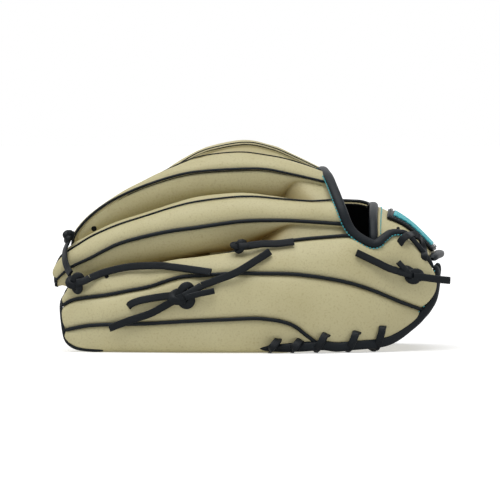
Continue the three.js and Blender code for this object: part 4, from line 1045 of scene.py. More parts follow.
# How much painted shade each valley gets: all along, and in a pocket round one row.
VALLEY_SHADES = {
    "index_middle_valley": (0.2, 8, 0.0), "middle_ring_valley": (0.15, 9.15, 1.0),
    "ring_pinky_valley": (0.95, 8.2, 0.6),
}
SLIT_ROWS = {"index_middle_valley": 4.4, "ring_pinky_valley": 5.2}
VALLEY_ROWS = spread(0, 1, 4)[:-1] + spread(1, LAST_EDGE, 44)


def valley_leather(name, line_at, way):
    grid = [line_at(row) for row in VALLEY_ROWS]
    across = len(grid[0]) - 1

    # Painted shade at a point: most down on the valley's floor, and in a pocket round one row.
    def depth(i, j):
        row = VALLEY_ROWS[i]
        wide, pocket_row, spot = VALLEY_SHADES.get(name, (VALLEY_SHADE, 8.6, 0.0))
        inward = smooth(0.1, 1, min(j, across - j) / WALL)
        pocket_shade = spot * math.exp(-((row - pocket_row) / 0.85) ** 2)
        return inward * (wide * (1 - smooth(8, 10.2, row)) + pocket_shade)

    slit = SLIT_ROWS.get(name, SLIT_ROW)
    return sheet_of(name, grid, SIDE_LEATHER, way, lambda i, j: not (
        WALL <= j < WALL + FLOOR and VALLEY_ROWS[i + 1] <= slit), deep=depth)


for name, high, low, high_palm, low_palm, rise, crotch, swells, node_name in (
    ("index_middle_valley", index.lower, middle.upper, "index_lower", "middle_upper", 4, 7.4,
     (0.004, 0.003, 0.3), "index_middle_gusset"),
    ("middle_ring_valley", middle.lower, ring.upper, "middle_lower", "ring_upper", 9.1, 10.35,
     (0.0065, 0.010, 0.3), "middle_ring_gusset"),
    ("ring_pinky_valley", ring.lower, pinky_upper_seam, "ring_lower", "pinky_upper", 8, 9.4,
     (0.006, 0.003, 0.4), "ring_pinky_gusset"),
):
    piece = valley_leather(name, lambda row: valley(
        high, low, PALM_LINES[high_palm], PALM_LINES[low_palm], row, row, rise, crotch, *swells, 0.02,
        0.0045 if name == "ring_pinky_valley" else 0.0), outward_at)
    finish_piece(piece, "palm", "cream_leather", CREAM, node_name)


def thumb_row(row):
    """The row of the thumb's seams that lies level with a row of the index finger's seams."""
    if row < SLIT_ROW:
        return row * 4.9 / SLIT_ROW
    return mix(4.9, 9.3, (row - SLIT_ROW) / (LAST_ROW - SLIT_ROW))


# The hinge line of the thumb side runs along the crease of the palm and on through the wrist.
HINGE_POINT = Vector((0.143, 0.007, 0.056))


PALM_BEND, STRAP_BEND, SIDE_BEND = 0.009, 0.010, 0.012


def across_hinge(piece, slot, material, half_width, *nodes, past=HINGE_POINT):
    """Leather that crosses the hinge line from the palm side to the thumb side: it gets its material, the
    parts it stands for are hidden and its place is baked into its points.
    """
    piece.data.materials.append(material)
    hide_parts(*nodes)
    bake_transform(piece)


for name in ("index_back_leather", "middle_back_leather", "ring_back_leather", "pinky_back_leather",
             "pinky_side_leather", "thumb_back_leather", "thumb_side_leather"):
    line_inside(bpy.data.objects[name])

web_side = valley_leather("web_side_leather", lambda row: valley(
    index.upper, thumb.upper, PALM_LINES["index_upper"], PALM_LINES["thumb_upper"], row, thumb_row(row),
    7.5, 8.6, 0.002, 0.002, 0.4, 0.12), outward_at)
across_hinge(web_side, "cream_leather", CREAM, SIDE_BEND, "index_web_gusset", "thumb_web_gusset")
line_inside(web_side)


# Palm leather.

def thumb_row_at(row):
    """The row of the thumb's palm leather that lies level with a row of the palm's."""
    level = FIRST_POCKET_ROW + (THUMB_ROW_X[0] - PALM_ROW_X[0]) / (PALM_ROW_X[1] - PALM_ROW_X[0])
    if row < level:
        return row * FIRST_THUMB_ROW / level
    x = palm_x(row) / LENGTH * 100
    k = 0
    while k < len(THUMB_ROW_X) - 2 and x > THUMB_ROW_X[k + 1]:
        k += 1
    return FIRST_THUMB_ROW + k + (x - THUMB_ROW_X[k]) / (THUMB_ROW_X[k + 1] - THUMB_ROW_X[k])


def under_edge(lower, foot, inner):
    """The strip below the lowest seam: down the side, round the bottom edge and in under it."""
    width = (foot - lower).length
    down = (foot - lower).normalized()
    out = (lower - inner)
    out.z = 0
    out = out.normalized()
    tuck = out * -TUCK
    return [
        lower + tuck,
        lower + down * (width * 0.12) + out * 0.0004,
        lower + down * (width * 0.4) + out * EDGE_SWELL,
        lower + down * (width * 0.72) + out * EDGE_SWELL,
        foot + Vector((0, 0, 1)) * min(EDGE_SWELL, width * 0.12) + out * 0.001,
        foot.lerp(inner, 0.12),
        foot.lerp(inner, 0.45),
    ]


def palm_row(row):
    near_foot = palm_point(row, pinky_inner_foot, 0)
    pinky_top = PALM_LINES["pinky_upper"](row)

    def face(share, degrees):
        return palm_point(row, lambda _: near_foot.lerp(pinky_top, share), degrees)

    columns = under_edge(pinky_lower(row), pinky_foot(row), near_foot)
    columns += [near_foot, face(0.15, 6), face(0.3, 12), face(0.65, 24), pinky_top]
    for finger in ("ring", "middle", "index"):
        a, b = PALM_LINES[finger + "_lower"](row), PALM_LINES[finger + "_upper"](row)
        dip = outward_at((a + b) / 2).normalized() * (PALM_DIP * (1 - smooth(6, 9, row)) * smooth(0, 2, row))
        columns += [a, a.lerp(b, 0.3) - dip, a.lerp(b, 0.7) - dip, b]
    return columns


def thumb_palm_row(row):
    far_foot = thumb_point(row, thumb_inner_foot, 180)
    top = thumb_point(row, thumb.inner_upper, 137)
    crease_row = max(row, FIRST_THUMB_ROW + 0.5)
    shift = top - thumb_point(crease_row, thumb.inner_upper, 137)
    fold = crease(thumb_x(crease_row)) + shift

    def face(share, degrees):
        return thumb_point(row, lambda _: far_foot.lerp(top, share), degrees)

    columns = under_edge(thumb_lower(row), thumb_foot(row), far_foot)
    columns += [far_foot, face(0.15, 174), face(0.3, 167), face(0.65, 152), top, top.lerp(fold, 0.5), fold]
    return columns[::-1]


PINKY_COLUMNS = 12
PALM_SLITS = (PINKY_COLUMNS - 1, PINKY_COLUMNS + 3, PINKY_COLUMNS + 7)
PALM_LAST = PINKY_COLUMNS + 11
THUMB_TOP_COLUMN = PALM_LAST + 3
PALM_ROWS = spread(0, 1, 3)[:-1] + spread(1, 14.6, 48)
THUMB_FOLD_FROM = 7.95


def palm_cell(i, j):
    row = PALM_ROWS[max(0, i - 1)]
    nxt = PALM_ROWS[min(len(PALM_ROWS) - 1, i)]
    if j in PALM_SLITS:
        return nxt > SLIT_ROW
    if PALM_LAST <= j < THUMB_TOP_COLUMN:
        return row >= THUMB_FOLD_FROM
    return True


def tip_row():
    """The palm leather turns up at each fingertip and meets the seam round the finger's back."""
    first = palm_row(0) + thumb_palm_row(0)
    for number, stall in enumerate((ring, middle, index)):
        a, b = stall.lower(0), stall.upper(0)
        along = (stall.lower(0.5) + stall.upper(0.5) - a - b).normalized()
        for k, v in enumerate((0, 0.3, 0.7, 1)):
            first[PINKY_COLUMNS + 4 * number + k] = a.lerp(b, v) - along * (TIP_REACH * bowed(v))
    pinky_side = [pinky_foot, pinky_foot, pinky_lower, pinky.lower, pinky_upper_seam]
    thumb_side = [thumb.upper] * 3 + [thumb.lower, thumb_lower] + [thumb_foot] * 2
    for start, lines in ((PINKY_COLUMNS - len(pinky_side), pinky_side), (PALM_LAST + 1, thumb_side)):
        for k, line in enumerate(lines):
            first[start + k] = line(0)
    return first


palm_grid = [tip_row()] + [palm_row(row) + thumb_palm_row(thumb_row_at(row)) for row in PALM_ROWS]
palm_leather = sheet_of("palm_leather", palm_grid, LEATHER, lambda p: -outward_at(p - TO_FRAME), palm_cell)
across_hinge(palm_leather, "cream_leather", CREAM, PALM_BEND, "palm_shell", "thumb_palm_shell")


# Welts between the leathers.

def outward_path(path):
    return lambda i: outward_at(path[i])


def welt(name, points, body, node_name=None, scale=None, width=WELT):
    path = smooth_path(points, WELT_STEP)
    piece = sweep(name, path, rounded(width, width * 0.9, 8, 2.2), outward_path(path),
                  (lambda i: scale(i / (len(path) - 1))) if scale else None, ends="round")
    finish_piece(piece, body, "black_leather", BLACK, *([node_name or name] if node_name != "" else []))
    return piece


def round_tip(stall):
    a, b, mid, tip = finger_end(stall, TIP_REACH + WELT_PROUD)
    ends = []
    for turn in (25, 50, 75):
        c, s = math.cos(math.radians(turn)), math.sin(math.radians(turn))
        ends.append((mid + (a - mid) * c + tip * s, mid + (b - mid) * c + tip * s))
    return [e[0] for e in ends] + [mid + tip] + [e[1] for e in ends[::-1]]


WELT_END = LAST_EDGE - 0.1
for name, stall, scale, width in (
    ("index_welt", index, lambda t: mix(1, 0.42, smooth(0.45, 0.6, t)), 0.0024),
    ("middle_welt", middle, lambda t: mix(0.5, 1, smooth(0.38, 0.55, t)), 0.0021),
    ("ring_welt", ring, lambda t: mix(0.55, 1, smooth(0.45, 0.7, t)), 0.0030),
):
    up = [stall.upper(row) for row in spread(WELT_END, 0, 26)]
    down = [stall.lower(row) for row in spread(0, WELT_END, 26)]
    welt(name, up + round_tip(stall) + down, "palm", scale=scale, width=width)

welt("pinky_upper_welt", [pinky_upper_seam(row) for row in spread(0, 11.3, 26)], "palm", width=0.0025)
welt("pinky_seam_welt", [pinky.lower(row) for row in spread(0, 14, 30)], "palm", width=0.0028)
welt("pinky_edge_welt", [pinky_lower(row) for row in spread(0, 10.9, 26)], "palm", width=0.0028)
for name, line, last in (
    ("thumb_upper_welt", thumb.upper, 12.8), ("thumb_seam_welt", thumb.lower, 12.8),
    ("thumb_edge_welt", thumb_lower, 8.7),
):
    welt(name, [line(row) for row in spread(0, last, 26)], "thumb")
side_top = valley(
    ring.lower, pinky_upper_seam, PALM_LINES["ring_lower"], PALM_LINES["pinky_upper"], 0, 0, 8, 9.4,
    0.003, 0.003, 0.4, 0.02, 0.0045,
)
welt("ring_tip_welt", [ring.upper(0), ring.lower(0), *side_top[1:WALL - 1]], "palm", "", width=0.0026)
pinky_tip = [pinky_upper_seam(0), pinky.lower(0), pinky_lower(0), pinky_foot(0)]
for row, above_floor in ((1, 0.0004), (2, 0.0014), (2.6, 0.0014)):
    pinky_tip.append(pinky_foot(row) + Vector((0, 0, above_floor)))
welt("pinky_tip_welt", pinky_tip, "palm", "", width=0.0026)
welt("thumb_tip_welt", [thumb.upper(0), thumb.lower(0), thumb_lower(0), thumb_foot(0)], "thumb", "")


# Folded bindings and stitches.

def stitches(name, path, normal_at, body, material,
             pitch=STITCH_PITCH, long=STITCH_LONG, thick=STITCH_THICK):
    """Short stitches along a line, each a small round-ended bar of thread."""
    line = smooth_path(path, pitch)
    points, faces = [], []
    for i in range(len(line) - 1):
        way = (line[i + 1] - line[i]).normalized()
        up = normal_at(i / (len(line) - 1))
        up = (up - way * up.dot(way)).normalized()
        side = way.cross(up)
        centre = (line[i] + line[i + 1]) / 2 + TO_FRAME
        first = len(points)
        for t, size in ((-0.5, 0.35), (-0.3, 0.9), (0, 1.05), (0.3, 0.9), (0.5, 0.35)):
            sink = up * (-(abs(t) * 2) ** 3 * thick * 0.7)
            for k in range(6):
                a = math.pi * k / 3
                offset = side * (math.cos(a) * size * thick / 2) + up * (math.sin(a) * size * thick / 2)
                points.append(centre + way * (t * long) + offset + sink)
        faces += tube_faces(5, 6, first)
    piece = mesh_piece(name, points, faces, STITCH_SHARP_DEGREES)
    piece.data.materials.append(material)
    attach(piece, body)
    return piece


def binding(name, points, body, width=BINDING, flat=None, scale=None):
    """A rolled leather edge, a little uneven as hand-turned bindings are."""
    path = smooth_path(points, BINDING_STEP)
    flat_at = flat or outward_path(path)
    seed = len(name)

    def size(i):
        place_in_noise = Vector((i * BINDING_STEP * BINDING_WAVES, seed, 3.0))
        soft = 1 + BINDING_SOFTNESS * noise.noise(place_in_noise)
        return soft * (scale(i / (len(path) - 1)) if scale else 1)

    piece = sweep(name, path, rounded(width, BINDING_THICK, 16, 2.5), flat_at, size, ends="round")
    finish_piece(piece, body, "black_leather", BLACK, name)


OPENING = [
    (23.4, 22.6, 72.6), (21.2, 15.4, 80.8), (20.6, 7.8, 84.6), (20.7, 2.1, 85),
    (21.2, -5.8, 83.8), (22.2, -13.5, 80.9), (23.4, -21.2, 75.6), (25.3, -28.6, 66.6), (27.3, -31.2, 58),
    (30, -32.4, 53.3), (33.7, -32.6, 50.4), (36, -30.7, 53), (38, -28.6, 55.6), (40.4, -27.2, 56),
    (42.6, -26.2, 54.7), (46.6, -23.6, 46.4), (49.2, -21, 39),
]
opening_points = [place(s) for s in OPENING]
binding("opening_binding", opening_points, "palm",
        scale=lambda t: mix(1, 0.55, smooth(0.72, 0.84, t)))
opening_line = through(opening_points)


def beside(line, last, side_way, offset, lift, count=60, start=0.0):
    """A line that runs beside another on the leather: offset to one side of it."""
    points = []
    for row in spread(start, last, count):
        way = (line(row + 0.05) - line(row - 0.05)).normalized()
        up = outward_at(line(row)).normalized()
        side = way.cross(up).normalized() * side_way
        points.append(line(row) + side * offset + up * lift)
    return points


def outward_along(points):
    return lambda t: outward_at(points[int(t * (len(points) - 1))]).normalized()


edge = beside(opening_line, 10.6, 1, 0.0043, 0.0010)
stitches("opening_stitches", edge, outward_along(edge), "palm", BLUE_THREAD)
edge = beside(opening_line, 13.4, 1, 0.0033, 0.0006, start=10.7)
stitches("flap_stitches", edge, outward_along(edge), "palm", BLUE_THREAD)

HEEL_START = [(4, -46.6, 2.6), (9, -46.8, 2.6), (14, -46.9, 2.8)]
HEEL_UP = [(49.2, -22.3, 24.4), (50, -20.8, 30.6), (50.2, -20, 36.6), (49.7, -20.9, 39.8)]
heel_points = [place(s) for s in HEEL_START] + [
    pinky_lower(row) + Vector((0, 0, 0.0002)) for row in spread(11, 15, 10)] + [place(s) for s in HEEL_UP]


def heel_outward(point):
    """Out of the heel, away from the middle of the pocket."""
    return Vector((max(0, point.x - 0.07) * 0.9, point.y, 0.01 + max(0, point.z - 0.02) * 0.4))


def around_heel(points):
    return lambda i: heel_outward(points[i])


heel_path = smooth_path(heel_points, BINDING_STEP)
binding("heel_binding", heel_points, "palm", HEEL_BINDING, flat=around_heel(heel_path),
        scale=lambda t: mix(0.7, 1, smooth(0, 0.12, t)))
heel_line = through(heel_points)
heel_edge = []
for row in spread(3.5, len(heel_points) - 1.2, 80):
    way = (heel_line(row + 0.05) - heel_line(row - 0.05)).normalized()
    point = heel_line(row)
    up = heel_outward(point).normalized()
    side = up.cross(way).normalized()
    if side.z < 0 and point.z < 0.02 or side.x > 0 and point.z >= 0.02:
        side = -side
    heel_edge.append(point + side * 0.0042 + up * 0.0006)
stitches("heel_stitches", heel_edge, lambda t: Vector((0.3 * t, -1, 0.1)), "palm", BLUE_THREAD, pitch=0.0029,
         long=0.0016, thick=0.0007)

thumb_heel_points = [thumb_lower(row) for row in spread(9, 12.6, 10)] + [
    place(s) for s in [(47.2, 25.5, 19.4), (49.3, 25.3, 23.8), (50.9, 23.2, 31.2), (51.7, 20.3, 39.4)]]
thumb_heel_path = smooth_path(thumb_heel_points, BINDING_STEP)
binding("thumb_heel_binding", thumb_heel_points, "thumb", HEEL_BINDING,
        flat=around_heel(thumb_heel_path))

wrist_x = palm_x(14.6) + 0.001
wrist_points = [pocket(wrist_x, a) for a in spread(14, 166, 24)]
wrist_path = smooth_path(wrist_points, BINDING_STEP)
wrist = sweep("wrist_binding", wrist_path, rounded(BINDING, THIN_BINDING, 16, 2.5),
              toward(Vector((1, 0, 0.2))), lambda i: 1 + 0.05 * noise.noise(Vector((i * 0.12, 1, 2))),
              ends="round")
across_hinge(wrist, "black_leather", BLACK, PALM_BEND, "wrist_binding", "thumb_wrist_binding")


# Wrist strap and its patch.

STRAP_OUTER = [
    (34.3, -30.8, 51.4), (34.3, -24.7, 59.6), (34.5, -15.8, 64.6), (34.8, -5.3, 67.2),
    (34.8, 5.3, 67.8), (34.5, 14.7, 66.8), (34.1, 22.1, 65),
]
STRAP_MID = [
    (41, -26.6, 48.8), (41.6, -20.5, 54.6), (42.2, -11.6, 57.6), (42.8, -3.2, 58.4),
    (42.9, 5.3, 58.8), (42.4, 13.7, 58.4), (41.6, 20, 57.4),
]
STRAP_INNER = [
    (47.9, -19.1, 42), (49, -13.7, 43.6), (50, -7.4, 44.2), (50.7, -1.6, 44.4),
    (51, 4.7, 44.6), (50.9, 10, 44.6), (50, 15, 44),
]
strap_lines = [seam(s) for s in (STRAP_OUTER, STRAP_MID, STRAP_INNER)]


def strap_point(across, along):
    return through([line(across * 6) for line in strap_lines])(along * 2)


def strap_normal(u, v):
    sideways = strap_point(min(1, u + 0.02), v) - strap_point(max(0, u - 0.02), v)
    lengthways = strap_point(u, min(1, v + 0.02)) - strap_point(u, max(0, v - 0.02))
    normal = lengthways.cross(sideways).normalized()
    return -normal if normal.z < 0 else normal


def strap_sheet(name, across, along, lift, thickness, swell=0.0, rows=26, columns=16, levels=1):
    grid = []
    for a in spread(0, 1, rows):
        u = mix(*across, a)
        line = []
        for b in spread(0, 1, columns):
            v = mix(*along, b)
            crown = swell * (16 * a * (1 - a) * b * (1 - b)) ** 0.6
            line.append(strap_point(u, v) + strap_normal(u, v) * (lift + crown))
        grid.append(line)

    def near(i, j):
        return clamp(1 - min(i, j, rows - i, columns - j) / 2)

    return sheet_of(name, grid, thickness, lambda p: Vector((0.5, 0, 1)), near=near, levels=levels)


strap = strap_sheet("wrist_strap_leather", (0, 1), (0.02, 0.98), 0, LEATHER, 0.0012)
strap_bend = place((42, 20, 60)) - Vector((0, 0.012, 0))
across_hinge(strap, "cream_leather", CREAM, STRAP_BEND, "wrist_strap", past=strap_bend)
pad = strap_sheet("wrist_strap_pad", (0.06, 0.86), (0.06, 0.94), -LEATHER - 0.001, 0.0042, -0.0016)
finish_piece(pad, "palm", "black_leather", LINING, "strap_pad")
# The patch and its stitching: shares across and along the strap, height over its leather, thickness.
BASE_ACROSS, BASE_ALONG, BASE_TOP, BASE_THICK = (0.28, 0.56), (0.16, 0.95), 0.0034, 0.0024
FACE_ACROSS, FACE_ALONG, FACE_TOP, FACE_THICK = (0.335, 0.54), (0.25, 0.88), 0.0048, 0.0014
SEWN_ACROSS, SEWN_ALONG, SEWN_TOP = (0.3, 0.547), (0.19, 0.92), 0.0041
patch_base = strap_sheet("patch_base", BASE_ACROSS, BASE_ALONG, BASE_TOP, BASE_THICK, 0.0004)
finish_piece(patch_base, "palm", "black_leather", BLACK, "patch_base")
patch_face = strap_sheet("patch_face", FACE_ACROSS, FACE_ALONG, FACE_TOP, FACE_THICK, 0.0002)
finish_piece(patch_face, "palm", "turquoise_patch", PATCH, "patch")

front_edge = [strap_point(u, 0) + Vector((-0.0022, 0, 0.0004)) for u in spread(0.0, 0.97, 14)]
heel_side = [strap_point(u, 1) + Vector((0.0022, 0, 0.0004)) for u in spread(0.06, 0.97, 14)]
for name, points in (("strap_binding", front_edge), ("strap_heel_binding", heel_side)):
    path = smooth_path(points, BINDING_STEP)
    outline = rounded(STRAP_BINDING, THIN_BINDING, 16, 2.5)
    piece = sweep(name, path, outline, toward(Vector((0.1, -0.25, 1))), ends="round")
    across_hinge(piece, "black_leather", BLACK, STRAP_BEND, name, past=strap_bend)
strap_stitch = [strap_point(u, 0.075) + strap_normal(u, 0.075) * 0.0008 for u in spread(0.02, 0.8, 40)]
stitches("strap_stitches", strap_stitch, lambda t: Vector((0, -0.3, 1)), "palm", BLUE_THREAD)
near_u, far_u = SEWN_ACROSS
low_v, high_v = SEWN_ALONG
corners = ((near_u, low_v), (near_u, high_v), (far_u, high_v), (far_u, low_v), (near_u, low_v))
patch_stitch = []
for (u0, v0), (u1, v1), count in zip(corners, corners[1:], (10, 8, 10, 8)):
    for u, v in zip(spread(u0, u1, count), spread(v0, v1, count)):
        patch_stitch.append(strap_point(u, v) + strap_normal(u, v) * SEWN_TOP)
stitches("patch_stitches", patch_stitch, lambda t: Vector((0.5, -0.3, 1)), "palm", DARK_THREAD)


# Web between the index finger and the thumb.

WEB_LEATHER, WEB_GAP, WEB_DEPTH = 0.0044, 0.004, 0.7
WEB_FIRST, WEB_LAST = 1.3, 6.9


def web_index_wall(row):
    return index.upper(row).lerp(index.inner_upper(row), WEB_DEPTH)


def web_thumb_wall(row):
    other = thumb_row(row)
    return thumb.upper(other).lerp(thumb.inner_upper(other), 0.5)


def web_point(across, row, lift=0.0):
    a = web_index_wall(row) + Vector((0, WEB_GAP + WEB_LEATHER - 0.0003, 0))
    b = web_thumb_wall(row)
    whole = (a - b).length
    share = across * (1 - WEB_GAP / whole)
    way = outward_at((a + b) / 2).normalized()
    return a.lerp(b, share) + way * (bowed(share) * 0.1 * whole + lift)


def web_leather(name, across, rows, node_name):
    grid = []
    for i, row in enumerate(rows):
        line = []
        for v in eased(10):
            at_end = min(i, len(rows) - 1 - i) / 3
            drop = 0.0008 * (1 - min(smooth(0, 0.15, min(v, 1 - v)), smooth(0, 1, at_end)))
            line.append(web_point(mix(*across, v), row, -drop))
        grid.append(line)
    last = len(rows) - 1
    piece = sheet_of(name, grid, WEB_LEATHER, lambda p: Vector((0, 1, 0.5)), near=lambda i, j: clamp(
        1 - min(i, j, last - i, 10 - j) / 2))
    finish_piece(piece, "web", "cream_leather", CREAM, node_name)


web_leather("web_index_post", (0, 0.335), spread(WEB_FIRST, WEB_LAST, 36), "web_post_index")
web_leather("web_thumb_post", (0.665, 1), spread(WEB_FIRST, WEB_LAST, 36), "web_post_thumb")
web_leather("web_bar", (0.345, 0.655), spread(3.7, 5.3, 12), "web_cross_bar")
for name, across in (
    ("index_post_stitches", 0.05), ("index_post_inner_stitches", 0.29),
    ("thumb_post_stitches", 0.95), ("thumb_post_inner_stitches", 0.71),
):
    line = [web_point(across, row) for row in spread(WEB_FIRST + 0.15, WEB_LAST - 0.15, 20)]
    stitches(name, line, outward_along(line), "web", CREAM_THREAD, pitch=0.0036, long=0.0027)
edging_path = smooth_path([web_point(share, 0.75) for share in spread(0, 1, 12)], BINDING_STEP)
edging = sweep("web_edging_roll", edging_path, rounded(BINDING, 0.0056, 14, 2.5), outward_path(edging_path),
               ends="round")
finish_piece(edging, "web", "black_leather", BLACK, "web_edging")


def whip_lace(name, line, rows, turns, body, node_name, wide=0.0050, deep=0.0046):
    """One flat lace wound through the edges of two leathers that meet along a line."""
    steps = 14
    path, faces = [], []
    for k in range(turns * steps + 1):
        row = mix(*rows, k / (turns * steps))
        along = (line(row + 0.05) - line(row - 0.05)).normalized()
        out = outward_at(line(row))
        out = (out - along * out.dot(along)).normalized()
        side = along.cross(out)
        angle = 2 * math.pi * k / steps
        spoke = out * (math.cos(angle) * deep) + side * (math.sin(angle) * wide)
        path.append(line(row) + spoke)
        faces.append(spoke)
    piece = sweep(name, path, LACE_OUTLINE, lambda i: faces[i])
    finish_piece(piece, body, "black_rawhide", RAWHIDE, node_name)


def thumb_lace_line(row):
    wall = web_thumb_wall(row)
    way = (web_point(0.5, row) - wall).normalized()
    return wall + way * (WEB_GAP / 2 + 0.00045) - Vector((0, WEB_LEATHER / 2, 0))


whip_lace("web_index_lacing", lambda row: web_index_wall(row) + Vector((0, WEB_GAP / 2 + 0.0006, 0)),
          (1.5, 6.8), 8, "palm", "web_lace_index")
whip_lace("web_thumb_lacing", thumb_lace_line, (1.5, 6.8), 8, "thumb", "web_lace_thumb")


# Padding, lining and stiffeners inside.

def inner_layer(name, rows, degrees, lift, thickness):
    """A layer that lies on the inside of the palm's leather."""
    grid = []
    for row in rows:
        arch = [pocket(palm_x(row), a) for a in spread(*degrees, 24)]
        grid.append([p + outward_at(p).normalized() * lift for p in arch])
    return sheet_of(name, grid, thickness, lambda p: outward_at(p - TO_FRAME))


palm_felt = inner_layer("palm_felt_pad", spread(9.2, 14.2, 16), (12, 100), PALM_PAD_IN, PALM_PAD_THICK)
finish_piece(palm_felt, "palm", "felt", FELT, "palm_pad")
hand_lining = inner_layer("hand_lining", spread(9.2, 14.5, 20), (8, 162), LINING_IN, LINING_THICK)
across_hinge(hand_lining, "black_leather", LINING, PALM_BEND, "palm_lining")
back_lines = [line for stall in (pinky, ring, middle, index) for line in (stall.lower, stall.upper)]
lining_grid = [[line(row) - outward_at(line(row)).normalized() * BACK_LINING_IN for line in back_lines]
               for row in spread(10.35, LAST_ROW + 0.05, 8)]
back_lining = sheet_of("back_lining_leather", lining_grid, LINING_THICK, lambda p: outward_at(p - TO_FRAME))
finish_piece(back_lining, "palm", "black_leather", LINING, "back_lining")


def behind_panel(name, upper, lower, rows, reach, thickness, body, slot, material, node_name):
    """A pad or stiffener against the inside of a side's leather, as far down as the share reach,
    or to the lower binding."""
    grid = []
    for row in rows:
        normal = panel_normal(upper, lower, row)
        a, b = upper(row), lower(row)
        width = (b - a).length
        grid.append([a.lerp(b, v) + normal * (bowed(v) * 0.08 * width - LEATHER - PANEL_CLEARANCE)
                     for v in spread(BINDING / width, reach or 1 - BINDING / width, 8)])
    piece = sheet_of(name, grid, thickness, outward_at)
    return finish_piece(piece, body, slot, material, node_name)


for name, stall, low_line, rows, body, node_name in (
    ("heel_felt_pad", pinky, pinky_lower, spread(10.6, 12.8, 10), "palm", "heel_pad"),
    ("thumb_heel_felt_pad", thumb, thumb_lower, spread(9, 11.5, 10), "thumb", "thumb_heel_pad"),
):
    pad = behind_panel(name, stall.lower, low_line, rows, HEEL_PAD_REACH, HEEL_PAD_THICK, body,
                       "felt", FELT, node_name)
for name, stall, low_line, rows, body, node_name in (
    ("little_finger_stiffener", pinky, pinky_lower, spread(1.6, 8.4, 20), "palm", "pinky_stay"),
    ("thumb_stiffener", thumb, thumb_lower, spread(1.6, 7.4, 18), "thumb", "thumb_stay"),
):
    behind_panel(name, stall.lower, low_line, rows, None, STAY_THICK, body, "stay_plastic", STAY, node_name)


# Rawhide laces and knots.

def leather_seen():
    """The leather that shows on the little-finger side, for placing laces by the photograph."""
    points, faces = [], []
    for name in ("pinky_back_leather", "pinky_side_leather", "palm_leather", "ring_back_leather",
                 "middle_back_leather", "middle_ring_valley", "wrist_strap_leather", "patch_base"):
        mesh = bpy.data.objects[name].data
        first = len(points)
        points += [v.co.copy() for v in mesh.vertices]
        faces += [tuple(first + k for k in face.vertices) for face in mesh.polygons]
    return BVHTree.FromPolygons(points, faces)


LEATHER_SEEN = leather_seen()


def on_leather(px, py, lift=0.0):
    """The place on the leather that shows at a pixel of the photograph, and the way out of it."""
    sensor, half = camera.data.sensor_width, PHOTO_SIDE / 2
    ray = Vector(((px - half) / PHOTO_SIDE * sensor, (half - py) / PHOTO_SIDE * sensor, -camera.data.lens))
    ray.rotate(camera.rotation_euler)
    hit, normal, _, _ = LEATHER_SEEN.ray_cast(camera.location, ray.normalized())
    if hit is None:
        raise ValueError(f"no leather shows at pixel {px}, {py}")
    if normal.dot(ray) > 0:
        normal = -normal
    return hit - TO_FRAME + normal * lift, normal


def laid_lace(name, pixels, lifts, node_name=None, width=LACE_WIDTH, thick=LACE_THICK, way=None):
    """A lace that lies on the leather along a row of pixels, each at its own height."""
    seated = [on_leather(*pixel) for pixel in pixels]
    if way:
        seated = [(p, way.normalized()) for p, _ in seated]
    path = smooth_path([p + n * lift for (p, n), lift in zip(seated, lifts)], LACE_STEP)
    normals = through([n for _, n in seated])
    last = len(seated) - 1
    piece = sweep(name, path, rounded(width, thick, 16, 5), lambda i: normals(i / (len(path) - 1) * last))
    return finish_piece(piece, "palm", "black_rawhide", RAWHIDE, *([node_name] if node_name else []))


def knot(name, centre, way, wide, tall, node_name, turn=0.0, width=LACE_WIDTH, thick=LACE_THICK):
    """An overhand knot of flat lace, pulled tight."""
    out = way.normalized()
    right = (Vector((1, 0, 0)) - out * out.x).normalized()
    up = right.cross(-out)
    c, s = math.cos(math.radians(turn)), math.sin(math.radians(turn))
    right, up = right * c + up * s, up * c - right * s
    across, high = (wide - width) / 6, (tall - width) / 6
    path = []
    for k in range(73):
        t = math.pi / 6 + 2 * math.pi * k / 72
        path.append(
            centre + right * ((math.sin(t) + 2 * math.sin(2 * t)) * across)
            + up * ((math.cos(t) - 2 * math.cos(2 * t)) * high) - out * (math.sin(3 * t) * thick * 0.62)
        )
    piece = sweep(name, path, rounded(width, thick, 12), lambda i: out + (path[i] - centre) * 40)
    return finish_piece(piece, "palm", "black_rawhide", RAWHIDE, *([node_name] if node_name else []))


def lace_arm(name, points, way, width):
    """A short length of lace between a knot and a loose end, or a short end that stands out."""
    path = smooth_path([Vector(p) * MM for p in points], ARM_STEP)
    piece = sweep(name, path, rounded(width, LACE_THICK, 14), toward(way))
    return finish_piece(piece, "palm", "black_rawhide", RAWHIDE)


# Points in millimetres, the way out of the lace's flat face, and its width.
LACE_ARMS = {
    "tip_knot_arm": ([(-126, -70, 52), (-121, -70, 53), (-116.2, -68.6, 55.4)], (0, -1, 0.35), LACE_WIDTH),
    "pinky_knot_upper_arm": (
        [(-45, -99, 43), (-38, -97.5, 47), (-32.2, -94, 50.4)], (0.1, -1, 0.3), LACE_WIDTH),
    "pinky_knot_lower_arm": (
        [(-45, -98, 43), (-50.5, -96.5, 40.5), (-55.2, -94, 37.9)], (-0.1, -1, 0.1), LACE_WIDTH),
    "pinky_knot_stub": ([(-44, -99, 42), (-34, -99, 44.5), (-22.5, -97, 46.8)], (0.1, -1, 0.1), 0.0046),
    "crotch_knot_arm": ([(-4, -81, 80), (0, -81.2, 80), (3, -80.8, 80.2)], (0, -1, 0.5), 0.0048),
    "strap_knot_arm": ([(125, -64.5, 58), (120, -67, 59), (115.6, -67.8, 60.4)], (0.1, -1, 0.5), LACE_WIDTH),
    "strap_knot_stub": ([(124, -64, 58), (119.5, -66.5, 63), (115.5, -66, 67.5)], (0.5, -1, 0.4), 0.0046),
    "strap_knot_end": (
        [(127, -64.5, 56.5), (136, -60.5, 55.5), (146, -55.5, 54), (155, -51, 53)],
        (0.35, -1, 0.1), LACE_WIDTH),
}
